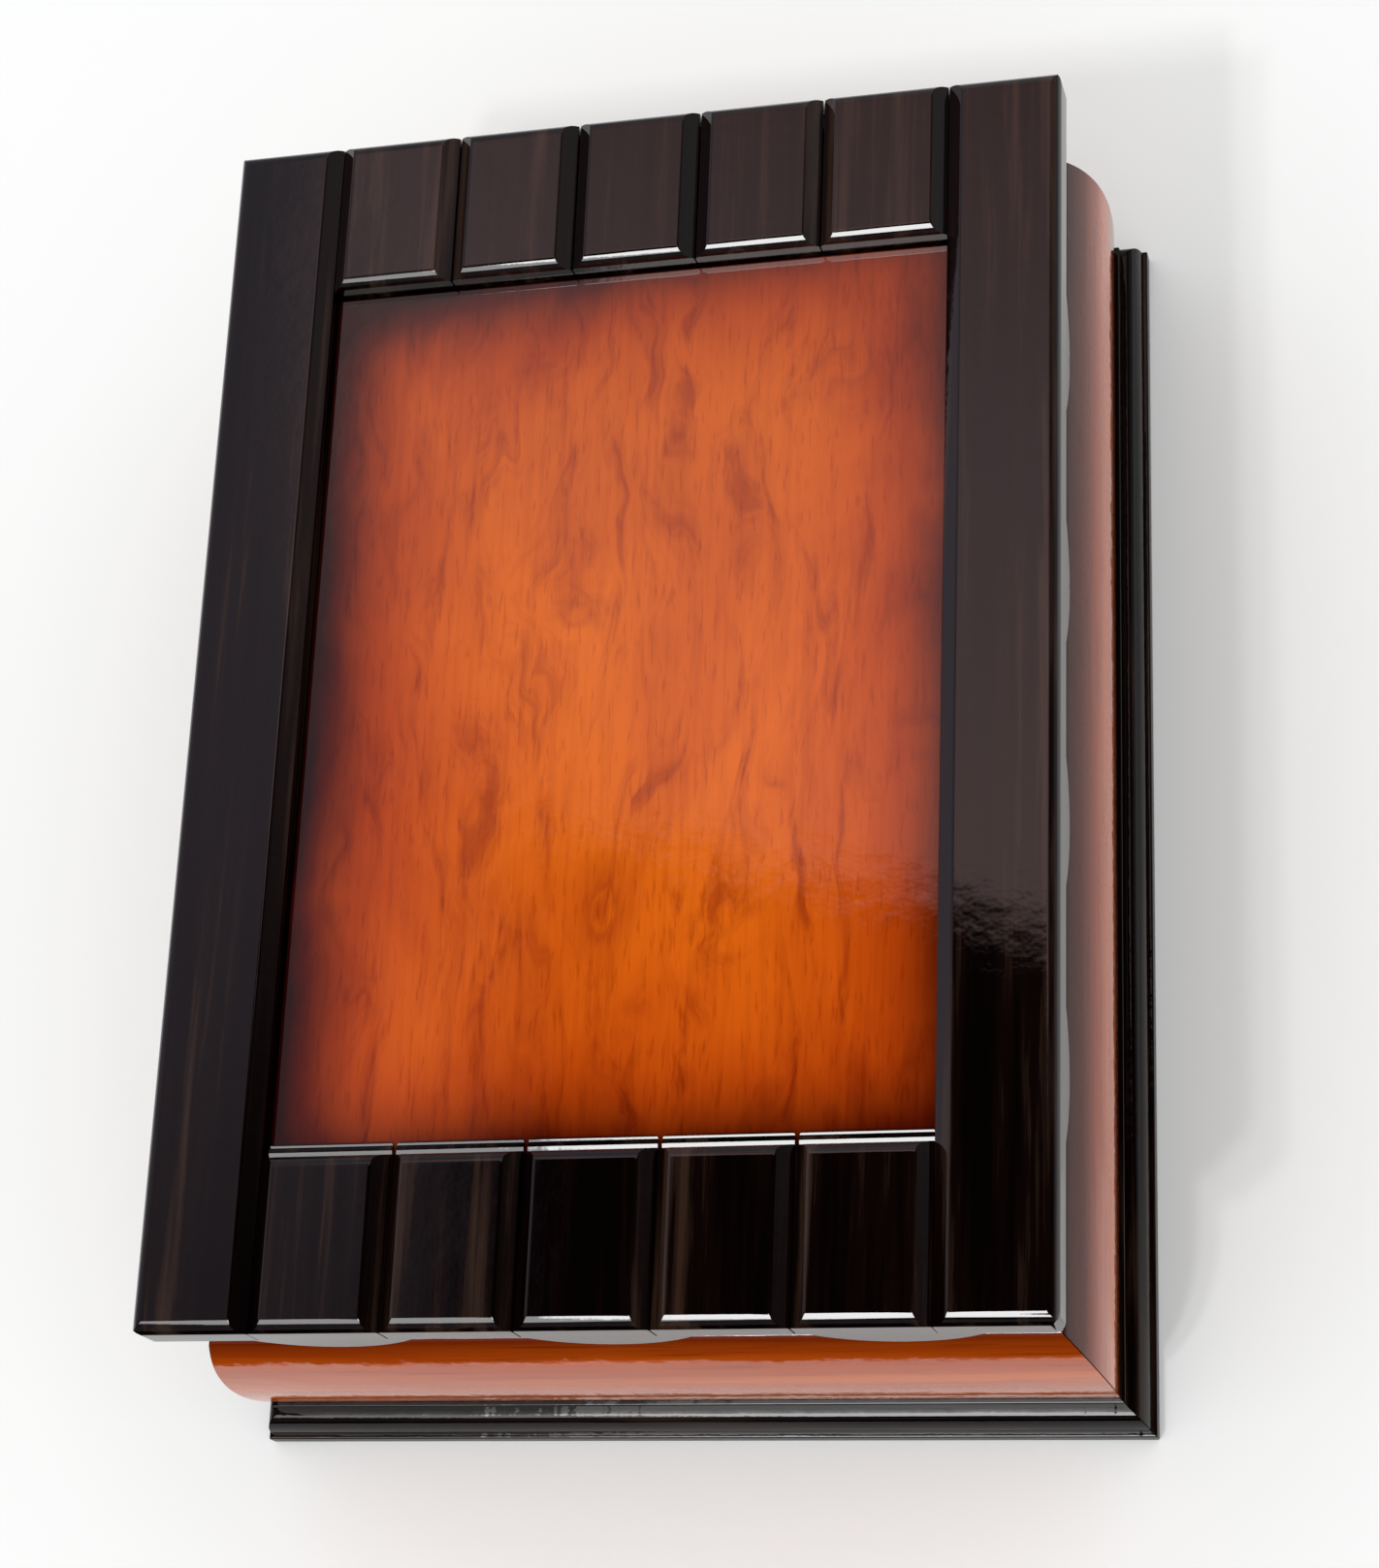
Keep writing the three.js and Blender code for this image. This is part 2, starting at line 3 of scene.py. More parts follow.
import bpy
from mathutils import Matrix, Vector


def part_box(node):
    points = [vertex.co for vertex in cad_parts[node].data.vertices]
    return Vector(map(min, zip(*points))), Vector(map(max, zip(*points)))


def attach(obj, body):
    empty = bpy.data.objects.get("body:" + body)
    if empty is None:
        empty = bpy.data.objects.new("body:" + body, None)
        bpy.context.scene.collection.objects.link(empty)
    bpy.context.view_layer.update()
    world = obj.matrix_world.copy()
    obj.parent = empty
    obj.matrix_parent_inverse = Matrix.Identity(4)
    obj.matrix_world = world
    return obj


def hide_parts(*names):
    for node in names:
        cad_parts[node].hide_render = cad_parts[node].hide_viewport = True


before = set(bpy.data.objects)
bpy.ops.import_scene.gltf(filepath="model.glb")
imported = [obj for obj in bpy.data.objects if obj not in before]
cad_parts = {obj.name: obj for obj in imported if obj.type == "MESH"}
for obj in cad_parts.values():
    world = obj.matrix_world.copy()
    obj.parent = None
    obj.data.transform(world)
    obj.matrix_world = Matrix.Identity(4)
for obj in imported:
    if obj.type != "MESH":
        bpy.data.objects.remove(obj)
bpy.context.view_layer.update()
print("frame loaded:", len(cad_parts), "nodes")

white = (1, 1, 1)


# node helpers, used for the room, the floor and every finish

def grey(value):
    return (value, value, value)


def feed(tree, socket, value):
    if isinstance(value, (int, float)):
        socket.default_value = value
    elif isinstance(value, tuple):
        socket.default_value = (*value, 1)
    else:
        tree.links.new(value, socket)


def calc(tree, operation, *values):
    node = tree.nodes.new("ShaderNodeMath")
    node.operation = operation
    for socket, value in zip(node.inputs, values):
        feed(tree, socket, value)
    return node.outputs[0]


def product(tree, first, second):
    return calc(tree, "MULTIPLY", first, second)


def rise(tree, value, low, high, start=0.0, end=1.0):
    node = tree.nodes.new("ShaderNodeMapRange")
    node.interpolation_type = "SMOOTHSTEP"
    node.inputs["From Min"].default_value = low
    node.inputs["From Max"].default_value = high
    node.inputs["To Min"].default_value = start
    node.inputs["To Max"].default_value = end
    tree.links.new(value, node.inputs["Value"])
    return node.outputs[0]


def fall(tree, value, low, high, end=0.0):
    return rise(tree, value, low, high, 1.0, end)


def band(tree, value, low, high, width):
    # 1 from low to high, and 0 a width outside them
    return product(tree, rise(tree, value, low - width, low), fall(tree, value, high, high + width))


def ramp(tree, value, stops):
    node = tree.nodes.new("ShaderNodeValToRGB")
    elements = node.color_ramp.elements
    while len(elements) < len(stops):
        elements.new(0.5)
    for element, (position, colour) in zip(elements, stops):
        element.position = position
        element.color = (*colour, 1)
    tree.links.new(value, node.inputs["Fac"])
    return node.outputs["Color"]


def blend(tree, factor, first, second, mode="MIX"):
    node = tree.nodes.new("ShaderNodeMix")
    node.data_type = "RGBA"
    node.blend_type = mode
    # sockets of one name come once for each kind of data, so the colours go by number
    for number, value in ((0, factor), (6, first), (7, second)):
        feed(tree, node.inputs[number], value)
    return node.outputs[2]


def shade(tree, colour, other, factor=1.0):
    return blend(tree, factor, colour, other, "MULTIPLY")


def split(tree, vector):
    node = tree.nodes.new("ShaderNodeSeparateXYZ")
    tree.links.new(vector, node.inputs[0])
    return node.outputs


def stretch(tree, vector, scale, offset=(0, 0, 0)):
    node = tree.nodes.new("ShaderNodeMapping")
    node.inputs["Scale"].default_value = scale
    node.inputs["Location"].default_value = offset
    tree.links.new(vector, node.inputs["Vector"])
    return node.outputs["Vector"]


def place(tree):
    return tree.nodes.new("ShaderNodeTexCoord").outputs["Object"]


def noise(tree, vector, detail, roughness=0.55, distortion=0.0):
    node = tree.nodes.new("ShaderNodeTexNoise")
    node.inputs["Scale"].default_value = 1.0
    node.inputs["Detail"].default_value = detail
    node.inputs["Roughness"].default_value = roughness
    node.inputs["Distortion"].default_value = distortion
    tree.links.new(vector, node.inputs["Vector"])
    return node.outputs["Fac"]


def pattern(tree, scale, offset=(0, 0, 0), **look):
    return noise(tree, stretch(tree, place(tree), scale, offset), **look)


def bump(tree, height, distance):
    node = tree.nodes.new("ShaderNodeBump")
    node.inputs["Distance"].default_value = distance
    tree.links.new(height, node.inputs["Height"])
    return node.outputs["Normal"]


cameraSetting = {
    "place": (0.15217, -0.20243, 0.57074),
    "turn": (20.343, 14.803, 2.276),  # degrees
    "lens": 87.38,
    "sensor": 36.0,
    "clip": (0.01, 20),
}


def addCamera(setting):
    data = bpy.data.cameras.new("camera")
    data.lens = setting["lens"]
    data.sensor_fit = "HORIZONTAL"
    data.sensor_width = setting["sensor"]
    data.clip_start, data.clip_end = setting["clip"]
    camera = bpy.data.objects.new("camera", data)
    camera.location = setting["place"]
    camera.rotation_euler = [math.radians(angle) for angle in setting["turn"]]
    bpy.context.scene.collection.objects.link(camera)
    bpy.context.scene.camera = camera


lampSetting = {
    "size": (0.16, 0.20),
    "aim": (0, 0, 0.05),
    "lamps": {
        "nearLamp": ((-0.75, -1.98, 3.0), 16),  # where it hangs, and its power
        "farLamp": ((-0.98, -1.75, 3.0), 13.5),
    },
}


def addLamps(setting):
    for name, (spot, power) in setting["lamps"].items():
        data = bpy.data.lights.new(name, "AREA")
        data.shape = "RECTANGLE"
        data.size, data.size_y = setting["size"]
        data.energy = power
        lamp = bpy.data.objects.new(name, data)
        lamp.location = spot
        aim = Vector(setting["aim"]) - Vector(spot)
        lamp.rotation_euler = aim.to_track_quat("-Z", "Y").to_euler()
        lamp.visible_glossy = False  # the room holds its mirror image
        bpy.context.scene.collection.objects.link(lamp)


# what the lacquer mirrors: a dark ceiling that ends in a pale wall behind the box and at its left,
# placed by the slopes x / z and y / z of the mirrored ray
roomSetting = {
    "ambient": (0.27, 0.96),  # from the horizon, and what is added overhead
    "plain": (0.95, 0.95, 0.95),
    "lowest": 0.02,
    "rearLine": (0.225, -0.285),  # slope and start of the pale wall's edge
    "leftLine": 1.15,
    "corner": 0.05,
    "softness": 0.014,
    "leftSoftness": (-0.10, 0.12),
    "wallReach": 1.5,
    "wallEnd": (-0.05, 0.25),  # to the right of this, only what wallRight leaves
    "wallRight": (0.28, 0.90, 0.42),  # where it begins and is full, and how strong it is
    "wallStrength": 1.4,
    "wall": [(0.0, (1.00, 0.70, 0.67)), (0.10, (0.82, 0.58, 0.60)), (0.21, (0.55, 0.36, 0.36)),
             (1.0, (0.54, 0.52, 0.54))],
    "wallLeft": (0.44, 0.42, 0.50),
    "leftFade": (-0.47, -0.38),
    "ceiling": (0.010, 0.006, 0.006),
    "veil": (0.48, 0.41, 0.48),  # a pale haze on the ceiling's left
    "veilFade": (-0.40, -0.31),
    "veilRise": (0.10, 0.42, 0.45),
    "rightReach": 6.0,
    "right": [(0.10, (0.0, 0.0, 0.0)), (0.28, (0.025, 0.02, 0.02)), (0.80, (0.20, 0.19, 0.24))],
    "lampX": (-0.466, -0.306, -0.130),  # outer edge of its dim side, then its bright part
    "lampY": (-1.00, 0.02),
    "lampEdge": 0.02,
    "lampDim": 0.3,
    "lampColour": (0.8, 0.8, 0.8),
    "lampStrength": 26,
}


def paintWall(tree, x, rearLine, leftLine, setting):
    beyond = calc(tree, "SMOOTH_MIN", rearLine, leftLine, setting["corner"])
    wall = ramp(tree, calc(tree, "DIVIDE", beyond, setting["wallReach"]), setting["wall"])
    wall = shade(tree, wall, grey(setting["wallStrength"]))
    return blend(tree, fall(tree, x, *setting["leftFade"]), wall, setting["wallLeft"])


def paintCeiling(tree, x, y, setting):
    low, high, least = setting["veilRise"]
    veil = product(tree, fall(tree, x, *setting["veilFade"]), rise(tree, y, low, high, least, 1))
    ceiling = blend(tree, veil, setting["ceiling"], setting["veil"])
    right = ramp(tree, calc(tree, "DIVIDE", x, setting["rightReach"]), setting["right"])
    return blend(tree, 1.0, ceiling, right, "LIGHTEN")


def wallShare(tree, x, y, rearLine, leftLine, setting):
    soft = setting["softness"]
    left = rise(tree, leftLine, *setting["leftSoftness"])
    share = product(tree, rise(tree, rearLine, -soft, soft), left)
    low, high, most = setting["wallRight"]
    right = rise(tree, y, low, high, 0, most)
    return product(tree, share, calc(tree, "MAXIMUM", fall(tree, x, *setting["wallEnd"]), right))


def lampShare(tree, x, y, setting):
    dimEdge, brightEdge, lastEdge = setting["lampX"]
    width = setting["lampEdge"]
    bright = rise(tree, x, brightEdge - width, brightEdge, setting["lampDim"], 1)
    across = product(tree, bright, band(tree, x, dimEdge, lastEdge, width))
    return product(tree, across, band(tree, y, *setting["lampY"], width))


def background(tree, colour, strength=1.0):
    node = tree.nodes.new("ShaderNodeBackground")
    feed(tree, node.inputs["Color"], colour)
    feed(tree, node.inputs["Strength"], strength)
    return node.outputs[0]


def change(tree, factor, first, second):
    # the first shader, and the second where the factor is 1
    node = tree.nodes.new("ShaderNodeMixShader")
    for socket, value in zip(node.inputs, (factor, first, second)):
        tree.links.new(value, socket)
    return node.outputs[0]


def addRoom(setting):
    world = bpy.data.worlds.new("room")
    bpy.context.scene.world = world
    world.use_nodes = True
    tree = world.node_tree
    tree.nodes.clear()
    rays = tree.nodes.new("ShaderNodeLightPath")
    where = tree.nodes.new("ShaderNodeTexCoord")
    x, y, z = split(tree, where.outputs["Generated"])
    z = calc(tree, "MAXIMUM", z, setting["lowest"])
    x = calc(tree, "DIVIDE", x, z)
    y = calc(tree, "DIVIDE", y, z)
    slope, start = setting["rearLine"]
    rearLine = calc(tree, "ADD", calc(tree, "MULTIPLY_ADD", x, slope, start), y)
    leftLine = calc(tree, "MULTIPLY_ADD", x, setting["leftLine"], y)
    mirrored = blend(tree, wallShare(tree, x, y, rearLine, leftLine, setting),
                     paintCeiling(tree, x, y, setting), paintWall(tree, x, rearLine, leftLine, setting))
    lampImage = background(tree, setting["lampColour"], setting["lampStrength"])
    lit = change(tree, lampShare(tree, x, y, setting), background(tree, mirrored), lampImage)
    horizon, overhead = setting["ambient"]
    soft = background(tree, white, calc(tree, "MULTIPLY_ADD", z, overhead, horizon))
    seen = change(tree, rays.outputs["Is Glossy Ray"], soft, lit)
    final = change(tree, rays.outputs["Is Camera Ray"], seen, background(tree, setting["plain"]))
    output = tree.nodes.new("ShaderNodeOutputWorld")
    tree.links.new(final, output.inputs[0])


floorSetting = {
    "size": 9.0,
    "colour": (0.915, 0.925, 0.920),
    "roughness": 0.9,
    "tableEdge": -0.139,  # the lacquer mirrors the table only behind this line
    "tableFade": 0.003,
}


def addFloor(setting):
    bpy.ops.object.select_all(action="DESELECT")
    bpy.ops.mesh.primitive_plane_add(size=setting["size"], location=(0, 0, 0))
    floor = bpy.context.object
    floor.name = "floor"
    material = bpy.data.materials.new("floorPaper")
    material.use_nodes = True
    tree = material.node_tree
    shader = tree.nodes["Principled BSDF"]
    edge = setting["tableEdge"]
    before = fall(tree, split(tree, place(tree))["Y"], edge - setting["tableFade"], edge)
    rays = tree.nodes.new("ShaderNodeLightPath")
    hidden = product(tree, before, rays.outputs["Is Glossy Ray"])
    colour = blend(tree, hidden, setting["colour"], (0, 0, 0))
    tree.links.new(colour, shader.inputs["Base Color"])
    shader.inputs["Roughness"].default_value = setting["roughness"]
    shader.inputs["Specular IOR Level"].default_value = 0.0
    floor.data.materials.append(material)


bpy.context.scene.view_settings.view_transform = "Standard"
addCamera(cameraSetting)
addLamps(lampSetting)
addRoom(roomSetting)
addFloor(floorSetting)
print("camera, lamps and floor ready")


# finishes

grainStretch = {"x": (16, 420, 420), "y": (420, 16, 420)}  # drawn out along the wood


def newFinish(name):
    material = bpy.data.materials.new(name)
    material.use_nodes = True
    return material, material.node_tree, material.node_tree.nodes["Principled BSDF"]


def grain(tree, along, times, **look):
    return pattern(tree, tuple(times * value for value in grainStretch[along]), **look)


lacquerSetting = {
    "ior": 1.5,
    "stainRoughness": 0.4,
    "stainSpecular": 0.0,  # only the coat shines
    "ripple": {"scale": grey(330), "detail": 2},  # the orange peel of a sprayed coat
    "sag": {"scale": grey(70), "detail": 1},
    "sagShare": 3.0,
}


def lacquer(tree, shader, finish, setting=lacquerSetting):
    shader.inputs["Coat Weight"].default_value = finish["coat"]
    shader.inputs["Coat Roughness"].default_value = finish["coatRoughness"]
    shader.inputs["Coat IOR"].default_value = setting["ior"]
    shader.inputs["Roughness"].default_value = setting["stainRoughness"]
    shader.inputs["Specular IOR Level"].default_value = setting["stainSpecular"]
    ripple = pattern(tree, **setting["ripple"])
    sag = pattern(tree, **setting["sag"])
    height = calc(tree, "MULTIPLY_ADD", sag, setting["sagShare"], ripple)
    tree.links.new(bump(tree, height, finish["peel"]), shader.inputs["Coat Normal"])


ebonySetting = {
    "stops": [(0.42, (0.0008, 0.0002, 0.0002)), (0.53, (0.0034, 0.0012, 0.0009)),
              (0.63, (0.0260, 0.0135, 0.0085))],  # black, brown, and the streaks
    "fine": {"times": 1.0, "detail": 5, "roughness": 0.6, "distortion": 0.2},
    "broad": {"times": 0.22, "offset": grey(3.1), "detail": 2, "roughness": 0.5, "distortion": 0.3},
    "fineShare": 0.55,
    "coat": 1.0,
    "coatRoughness": 0.03,
    "peel": 0.000013,
}
# the base has less lacquer, and it is less even
baseEbonySetting = {**ebonySetting, "coat": 0.5, "peel": 0.00004}


def darkLacquer(name, along, setting=ebonySetting):
    material, tree, shader = newFinish(name)
    share = setting["fineShare"]
    broad = product(tree, grain(tree, along, **setting["broad"]), 1 - share)
    both = calc(tree, "MULTIPLY_ADD", grain(tree, along, **setting["fine"]), share, broad)
    tree.links.new(ramp(tree, both, setting["stops"]), shader.inputs["Base Color"])
    lacquer(tree, shader, setting)
    return material


amberSetting = {
    "stops": [(0.30, (0.460, 0.070, 0.004)), (0.62, (0.640, 0.128, 0.008))],
    "figure": {"times": 0.45, "detail": 6, "roughness": 0.6, "distortion": 0.6},
    "pores": {"times": 2.2, "detail": 3, "roughness": 0.6},
    "poreStops": [(0.30, (0.72, 0.62, 0.55)), (0.45, white)],
    "shadeFrom": 0.026,  # height where the painted shade under the lid begins; part of this darkening is a darker stain towards the top
    "shadeTo": 0.052,
    # painted shade under the lid's overhang, darker towards the top and stronger on the side walls (y),
    # partly a darker stain
    "shade": {
        "x": [(0.0, grey(0.86)), (0.45, (0.86, 0.84, 0.8)), (0.72, (0.78, 0.62, 0.5)),
              (1.0, (0.30, 0.18, 0.18))],
        "y": [(0.0, white), (0.27, (0.92, 0.84, 0.80)), (0.50, (0.52, 0.36, 0.34)),
              (0.72, (0.18, 0.10, 0.11)), (1.0, (0.05, 0.03, 0.04))],
    },
    "footShadeHeights": (0.021, 0.030),  # the side walls get painted shade again beside the base, under their belly
    "foot": (0.12, 0.07, 0.08),
    "coatHeights": (0.034, 0.048),  # their coat gets thinner on the way up
    "coatLeast": 0.55,
    "coat": 1.0,
    "coatRoughness": 0.04,
    "peel": 0.00005,
}


def amberLacquer(name, along, setting=amberSetting):
    material, tree, shader = newFinish(name)
    z = split(tree, place(tree))["Z"]
    colour = ramp(tree, grain(tree, along, **setting["figure"]), setting["stops"])
    pores = ramp(tree, grain(tree, along, **setting["pores"]), setting["poreStops"])
    colour = shade(tree, colour, pores)
    # painted shade: the walls darken towards the lid from shadeFrom up to shadeTo
    height = calc(tree, "SUBTRACT", z, setting["shadeFrom"])
    height = calc(tree, "DIVIDE", height, setting["shadeTo"] - setting["shadeFrom"])
    colour = shade(tree, colour, ramp(tree, height, setting["shade"][along]))
    lacquer(tree, shader, setting)
    if along == "y":
        # painted shade along the foot of the side walls, beside the base
        foot = shade(tree, colour, setting["foot"])
        colour = blend(tree, rise(tree, z, *setting["footShadeHeights"]), foot, colour)
        coat = fall(tree, z, *setting["coatHeights"], setting["coatLeast"])
        tree.links.new(coat, shader.inputs["Coat Weight"])
    tree.links.new(colour, shader.inputs["Base Color"])
    return material


veneerSetting = {
    "stops": [(0.36, (0.600, 0.100, 0.005)), (0.60, (0.700, 0.132, 0.006))],
    "wisp": (0.380, 0.048, 0.004),
    "wispStops": [(0.34, grey(0.80)), (0.42, grey(0.32)), (0.52, grey(0))],
    "sway": {"scale": (34, 15, 1), "detail": 3, "roughness": 0.5, "distortion": 0.4},
    "swayReach": (0.034, 0.006, 0),
    "figureScale": (190, 38, 1),
    "figure": {"detail": 5, "roughness": 0.6, "distortion": 0.7},
    "cloud": {"scale": (30, 17, 1), "offset": (2.7, 1.3, 0), "detail": 3, "distortion": 0.8},
    "pore": {"scale": (1300, 150, 1), "detail": 2},
    "poreStops": [(0.33, (0.80, 0.70, 0.62)), (0.42, white)],
    "fibre": {"scale": (760, 34, 1), "detail": 3},
    "fibreStops": [(0.30, (0.86, 0.80, 0.74)), (0.55, white)],
    "fleckShare": 0.8,
    "shade": [(0.0, (0.030, 0.010, 0.030)), (0.07, (0.13, 0.05, 0.06)), (0.14, (0.33, 0.20, 0.20)),
              (0.22, (0.54, 0.34, 0.34)), (0.30, (0.70, 0.50, 0.46)), (0.42, (0.84, 0.69, 0.64)),
              (0.70, (0.96, 0.91, 0.88)), (1.0, white)],
    "shadeReach": 0.050,
    "shadeFrom": {"left": -0.0006, "right": 0.0046, "rear": 0.0030, "front": 0.0010},
    "rearSlant": 0.13,
    "shadeCorner": 0.015,
    "shadeWander": 0.010,
    "rearDim": (-0.015, 0.070, 0.84),  # from, to, and what is left of the colour there
    "knot": (-0.0005, -0.0385),
    "knotSize": (0.0028, 0.0046),
    "knotRagged": 2.4,
    "knotReach": 4,  # in knot sizes
    "knotStops": [(0.04, grey(0.25)), (0.14, grey(0.10)), (0.22, grey(0.72)), (0.34, grey(0.35)),
                  (0.70, grey(0))],
    "coat": 1.0,
    "coatRoughness": 0.035,
    "peel": 0.000012,
}


def swayingFigure(tree, setting):
    shift = tree.nodes.new("ShaderNodeVectorMath")
    shift.operation = "MULTIPLY_ADD"
    shift.inputs[1].default_value = setting["swayReach"]
    tree.links.new(pattern(tree, **setting["sway"]), shift.inputs[0])
    tree.links.new(place(tree), shift.inputs[2])
    return noise(tree, stretch(tree, shift.outputs[0], setting["figureScale"]), **setting["figure"])


def knotShare(tree, figure, setting):
    sizeX, sizeY = setting["knotSize"]
    knotX, knotY = setting["knot"]
    away = tree.nodes.new("ShaderNodeVectorMath")
    away.operation = "LENGTH"
    ring = stretch(tree, place(tree), (1 / sizeX, 1 / sizeY, 0), (-knotX / sizeX, -knotY / sizeY, 0))
    tree.links.new(ring, away.inputs[0])
    ragged = calc(tree, "MULTIPLY_ADD", calc(tree, "SUBTRACT", figure, 0.5), setting["knotRagged"],
                  away.outputs["Value"])
    return ramp(tree, product(tree, ragged, 1 / setting["knotReach"]), setting["knotStops"])


def borderShade(tree, x, y, cloud, setting):
    # how far inside the nearest edge of the panel, along a wandering line
    low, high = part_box("lid_panel")
    start, corner = setting["shadeFrom"], setting["shadeCorner"]
    left = calc(tree, "ADD", x, start["left"] - low.x)
    right = calc(tree, "SUBTRACT", start["right"] + high.x, x)
    rear = calc(tree, "SUBTRACT", start["rear"] + high.y, y)
    rear = calc(tree, "MULTIPLY_ADD", x, setting["rearSlant"], rear)
    front = calc(tree, "ADD", y, start["front"] - low.y)
    across = calc(tree, "SMOOTH_MIN", left, right, corner)
    along = calc(tree, "SMOOTH_MIN", rear, front, corner)
    wander = product(tree, calc(tree, "SUBTRACT", cloud, 0.5), setting["shadeWander"])
    inside = calc(tree, "ADD", calc(tree, "SMOOTH_MIN", across, along, corner), wander)
    return ramp(tree, calc(tree, "DIVIDE", inside, setting["shadeReach"]), setting["shade"])


def figuredVeneer(name, setting=veneerSetting):
    material, tree, shader = newFinish(name)
    spot = split(tree, place(tree))
    figure = swayingFigure(tree, setting)
    cloud = pattern(tree, **setting["cloud"])
    colour = ramp(tree, cloud, setting["stops"])
    colour = blend(tree, ramp(tree, figure, setting["wispStops"]), colour, setting["wisp"])
    for fleck in ("pore", "fibre"):
        flecks = ramp(tree, pattern(tree, **setting[fleck]), setting[f"{fleck}Stops"])
        colour = shade(tree, colour, flecks, setting["fleckShare"])
    colour = blend(tree, knotShare(tree, figure, setting), colour, setting["wisp"])
    colour = shade(tree, colour, borderShade(tree, spot["X"], spot["Y"], cloud, setting))
    dimFrom, dimTo, dim = setting["rearDim"]
    colour = blend(tree, rise(tree, spot["Y"], dimFrom, dimTo), colour, shade(tree, colour, grey(dim)))
    tree.links.new(colour, shader.inputs["Base Color"])
    lacquer(tree, shader, setting)
    return material


woodSetting = {
    "stops": [(0.32, (0.36, 0.20, 0.095)), (0.50, (0.55, 0.36, 0.19)), (0.68, (0.66, 0.47, 0.28))],
    "figure": {"times": 0.8, "detail": 6, "roughness": 0.62, "distortion": 0.4},
    "stain": (0.006, 0.0028, 0.0022),
    "stainDepth": 0.001,  # behind the face of the front apron
    "stainFade": 0.0004,
    "roughness": 0.55,
    "grainDepth": 0.00012,
}


def bareWood(name, along, stainedBefore=None, setting=woodSetting):
    # a piece whose end shows at the front has that end stained like the lid's edge
    material, tree, shader = newFinish(name)
    figure = grain(tree, along, **setting["figure"])
    colour = ramp(tree, figure, setting["stops"])
    if stainedBefore is not None:
        y = split(tree, place(tree))["Y"]
        end = fall(tree, y, stainedBefore, stainedBefore + setting["stainFade"])
        colour = blend(tree, end, colour, setting["stain"])
    tree.links.new(colour, shader.inputs["Base Color"])
    shader.inputs["Roughness"].default_value = setting["roughness"]
    tree.links.new(bump(tree, figure, setting["grainDepth"]), shader.inputs["Normal"])
    return material


metalSetting = {
    "brass": {"colour": (0.80, 0.56, 0.25), "roughness": 0.28},
    "steel": {"colour": (0.55, 0.55, 0.57), "roughness": 0.34},
    "haze": {"scale": grey(240), "detail": 5, "roughness": 0.6},
    "hazeStops": (0.35, 0.65),
    "dim": 0.72,
    "roughnessShares": (0.7, 1.4),
    "scratch": {"scale": (60, 1800, 900), "detail": 2},
    "scratchDepth": 0.00001,
}


def metal(name, setting=metalSetting):
    colour, roughness = setting[name]["colour"], setting[name]["roughness"]
    material, tree, shader = newFinish(name)
    haze = pattern(tree, **setting["haze"])
    hazed = tuple(setting["dim"] * value for value in colour)
    tint = ramp(tree, haze, list(zip(setting["hazeStops"], (hazed, colour))))
    tree.links.new(tint, shader.inputs["Base Color"])
    least, most = (share * roughness for share in setting["roughnessShares"])
    tree.links.new(rise(tree, haze, 0, 1, least, most), shader.inputs["Roughness"])
    shader.inputs["Metallic"].default_value = 1.0
    scratch = pattern(tree, **setting["scratch"])
    tree.links.new(bump(tree, scratch, setting["scratchDepth"]), shader.inputs["Normal"])
    return material


feltSetting = {
    "nap": {"scale": grey(2600), "detail": 4, "roughness": 0.7, "distortion": 0.5},
    "napStops": [(0.3, (0.12, 0.008, 0.014)), (0.7, (0.27, 0.025, 0.040))],
    "patch": {"scale": grey(30), "detail": 3, "roughness": 0.6},
    "patchStops": [(0.3, grey(0.82)), (0.7, white)],
    "roughness": 0.95,
    "sheen": 0.5,
    "specular": 0.1,
    "napDepth": 0.0004,
}


def feltCloth(name, setting=feltSetting):
    material, tree, shader = newFinish(name)
    nap = pattern(tree, **setting["nap"])
    worn = ramp(tree, pattern(tree, **setting["patch"]), setting["patchStops"])
    colour = shade(tree, ramp(tree, nap, setting["napStops"]), worn)
    tree.links.new(colour, shader.inputs["Base Color"])
    shader.inputs["Roughness"].default_value = setting["roughness"]
    shader.inputs["Sheen Weight"].default_value = setting["sheen"]
    shader.inputs["Specular IOR Level"].default_value = setting["specular"]
    tree.links.new(bump(tree, nap, setting["napDepth"]), shader.inputs["Normal"])
    return material


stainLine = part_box("apron_front")[0].y + woodSetting["stainDepth"]
finishes = {
    "ebonyX": darkLacquer("ebonyX", "x"),
    "ebonyY": darkLacquer("ebonyY", "y"),
    "baseX": darkLacquer("baseEbonyX", "x", baseEbonySetting),
    "baseY": darkLacquer("baseEbonyY", "y", baseEbonySetting),
    "amberX": amberLacquer("amberX", "x"),
    "amberY": amberLacquer("amberY", "y"),
    "veneer": figuredVeneer("figuredVeneer"),
    "woodX": bareWood("bareWoodX", "x"),
    "woodY": bareWood("bareWoodY", "y"),
    "stainedEnd": bareWood("stainedEndWood", "y", stainLine),
    "brass": metal("brass"),
    "steel": metal("steel"),
    "felt": feltCloth("felt"),
}
print("finishes ready")


# modelling steps

axes = {"x": Vector((1, 0, 0)), "y": Vector((0, 1, 0)), "z": Vector((0, 0, 1))}


def pick(piece):
    if bpy.context.object and bpy.context.object.mode != "OBJECT":
        bpy.ops.object.mode_set(mode="OBJECT")
    bpy.ops.object.select_all(action="DESELECT")
    piece.select_set(True)
    bpy.context.view_layer.objects.active = piece


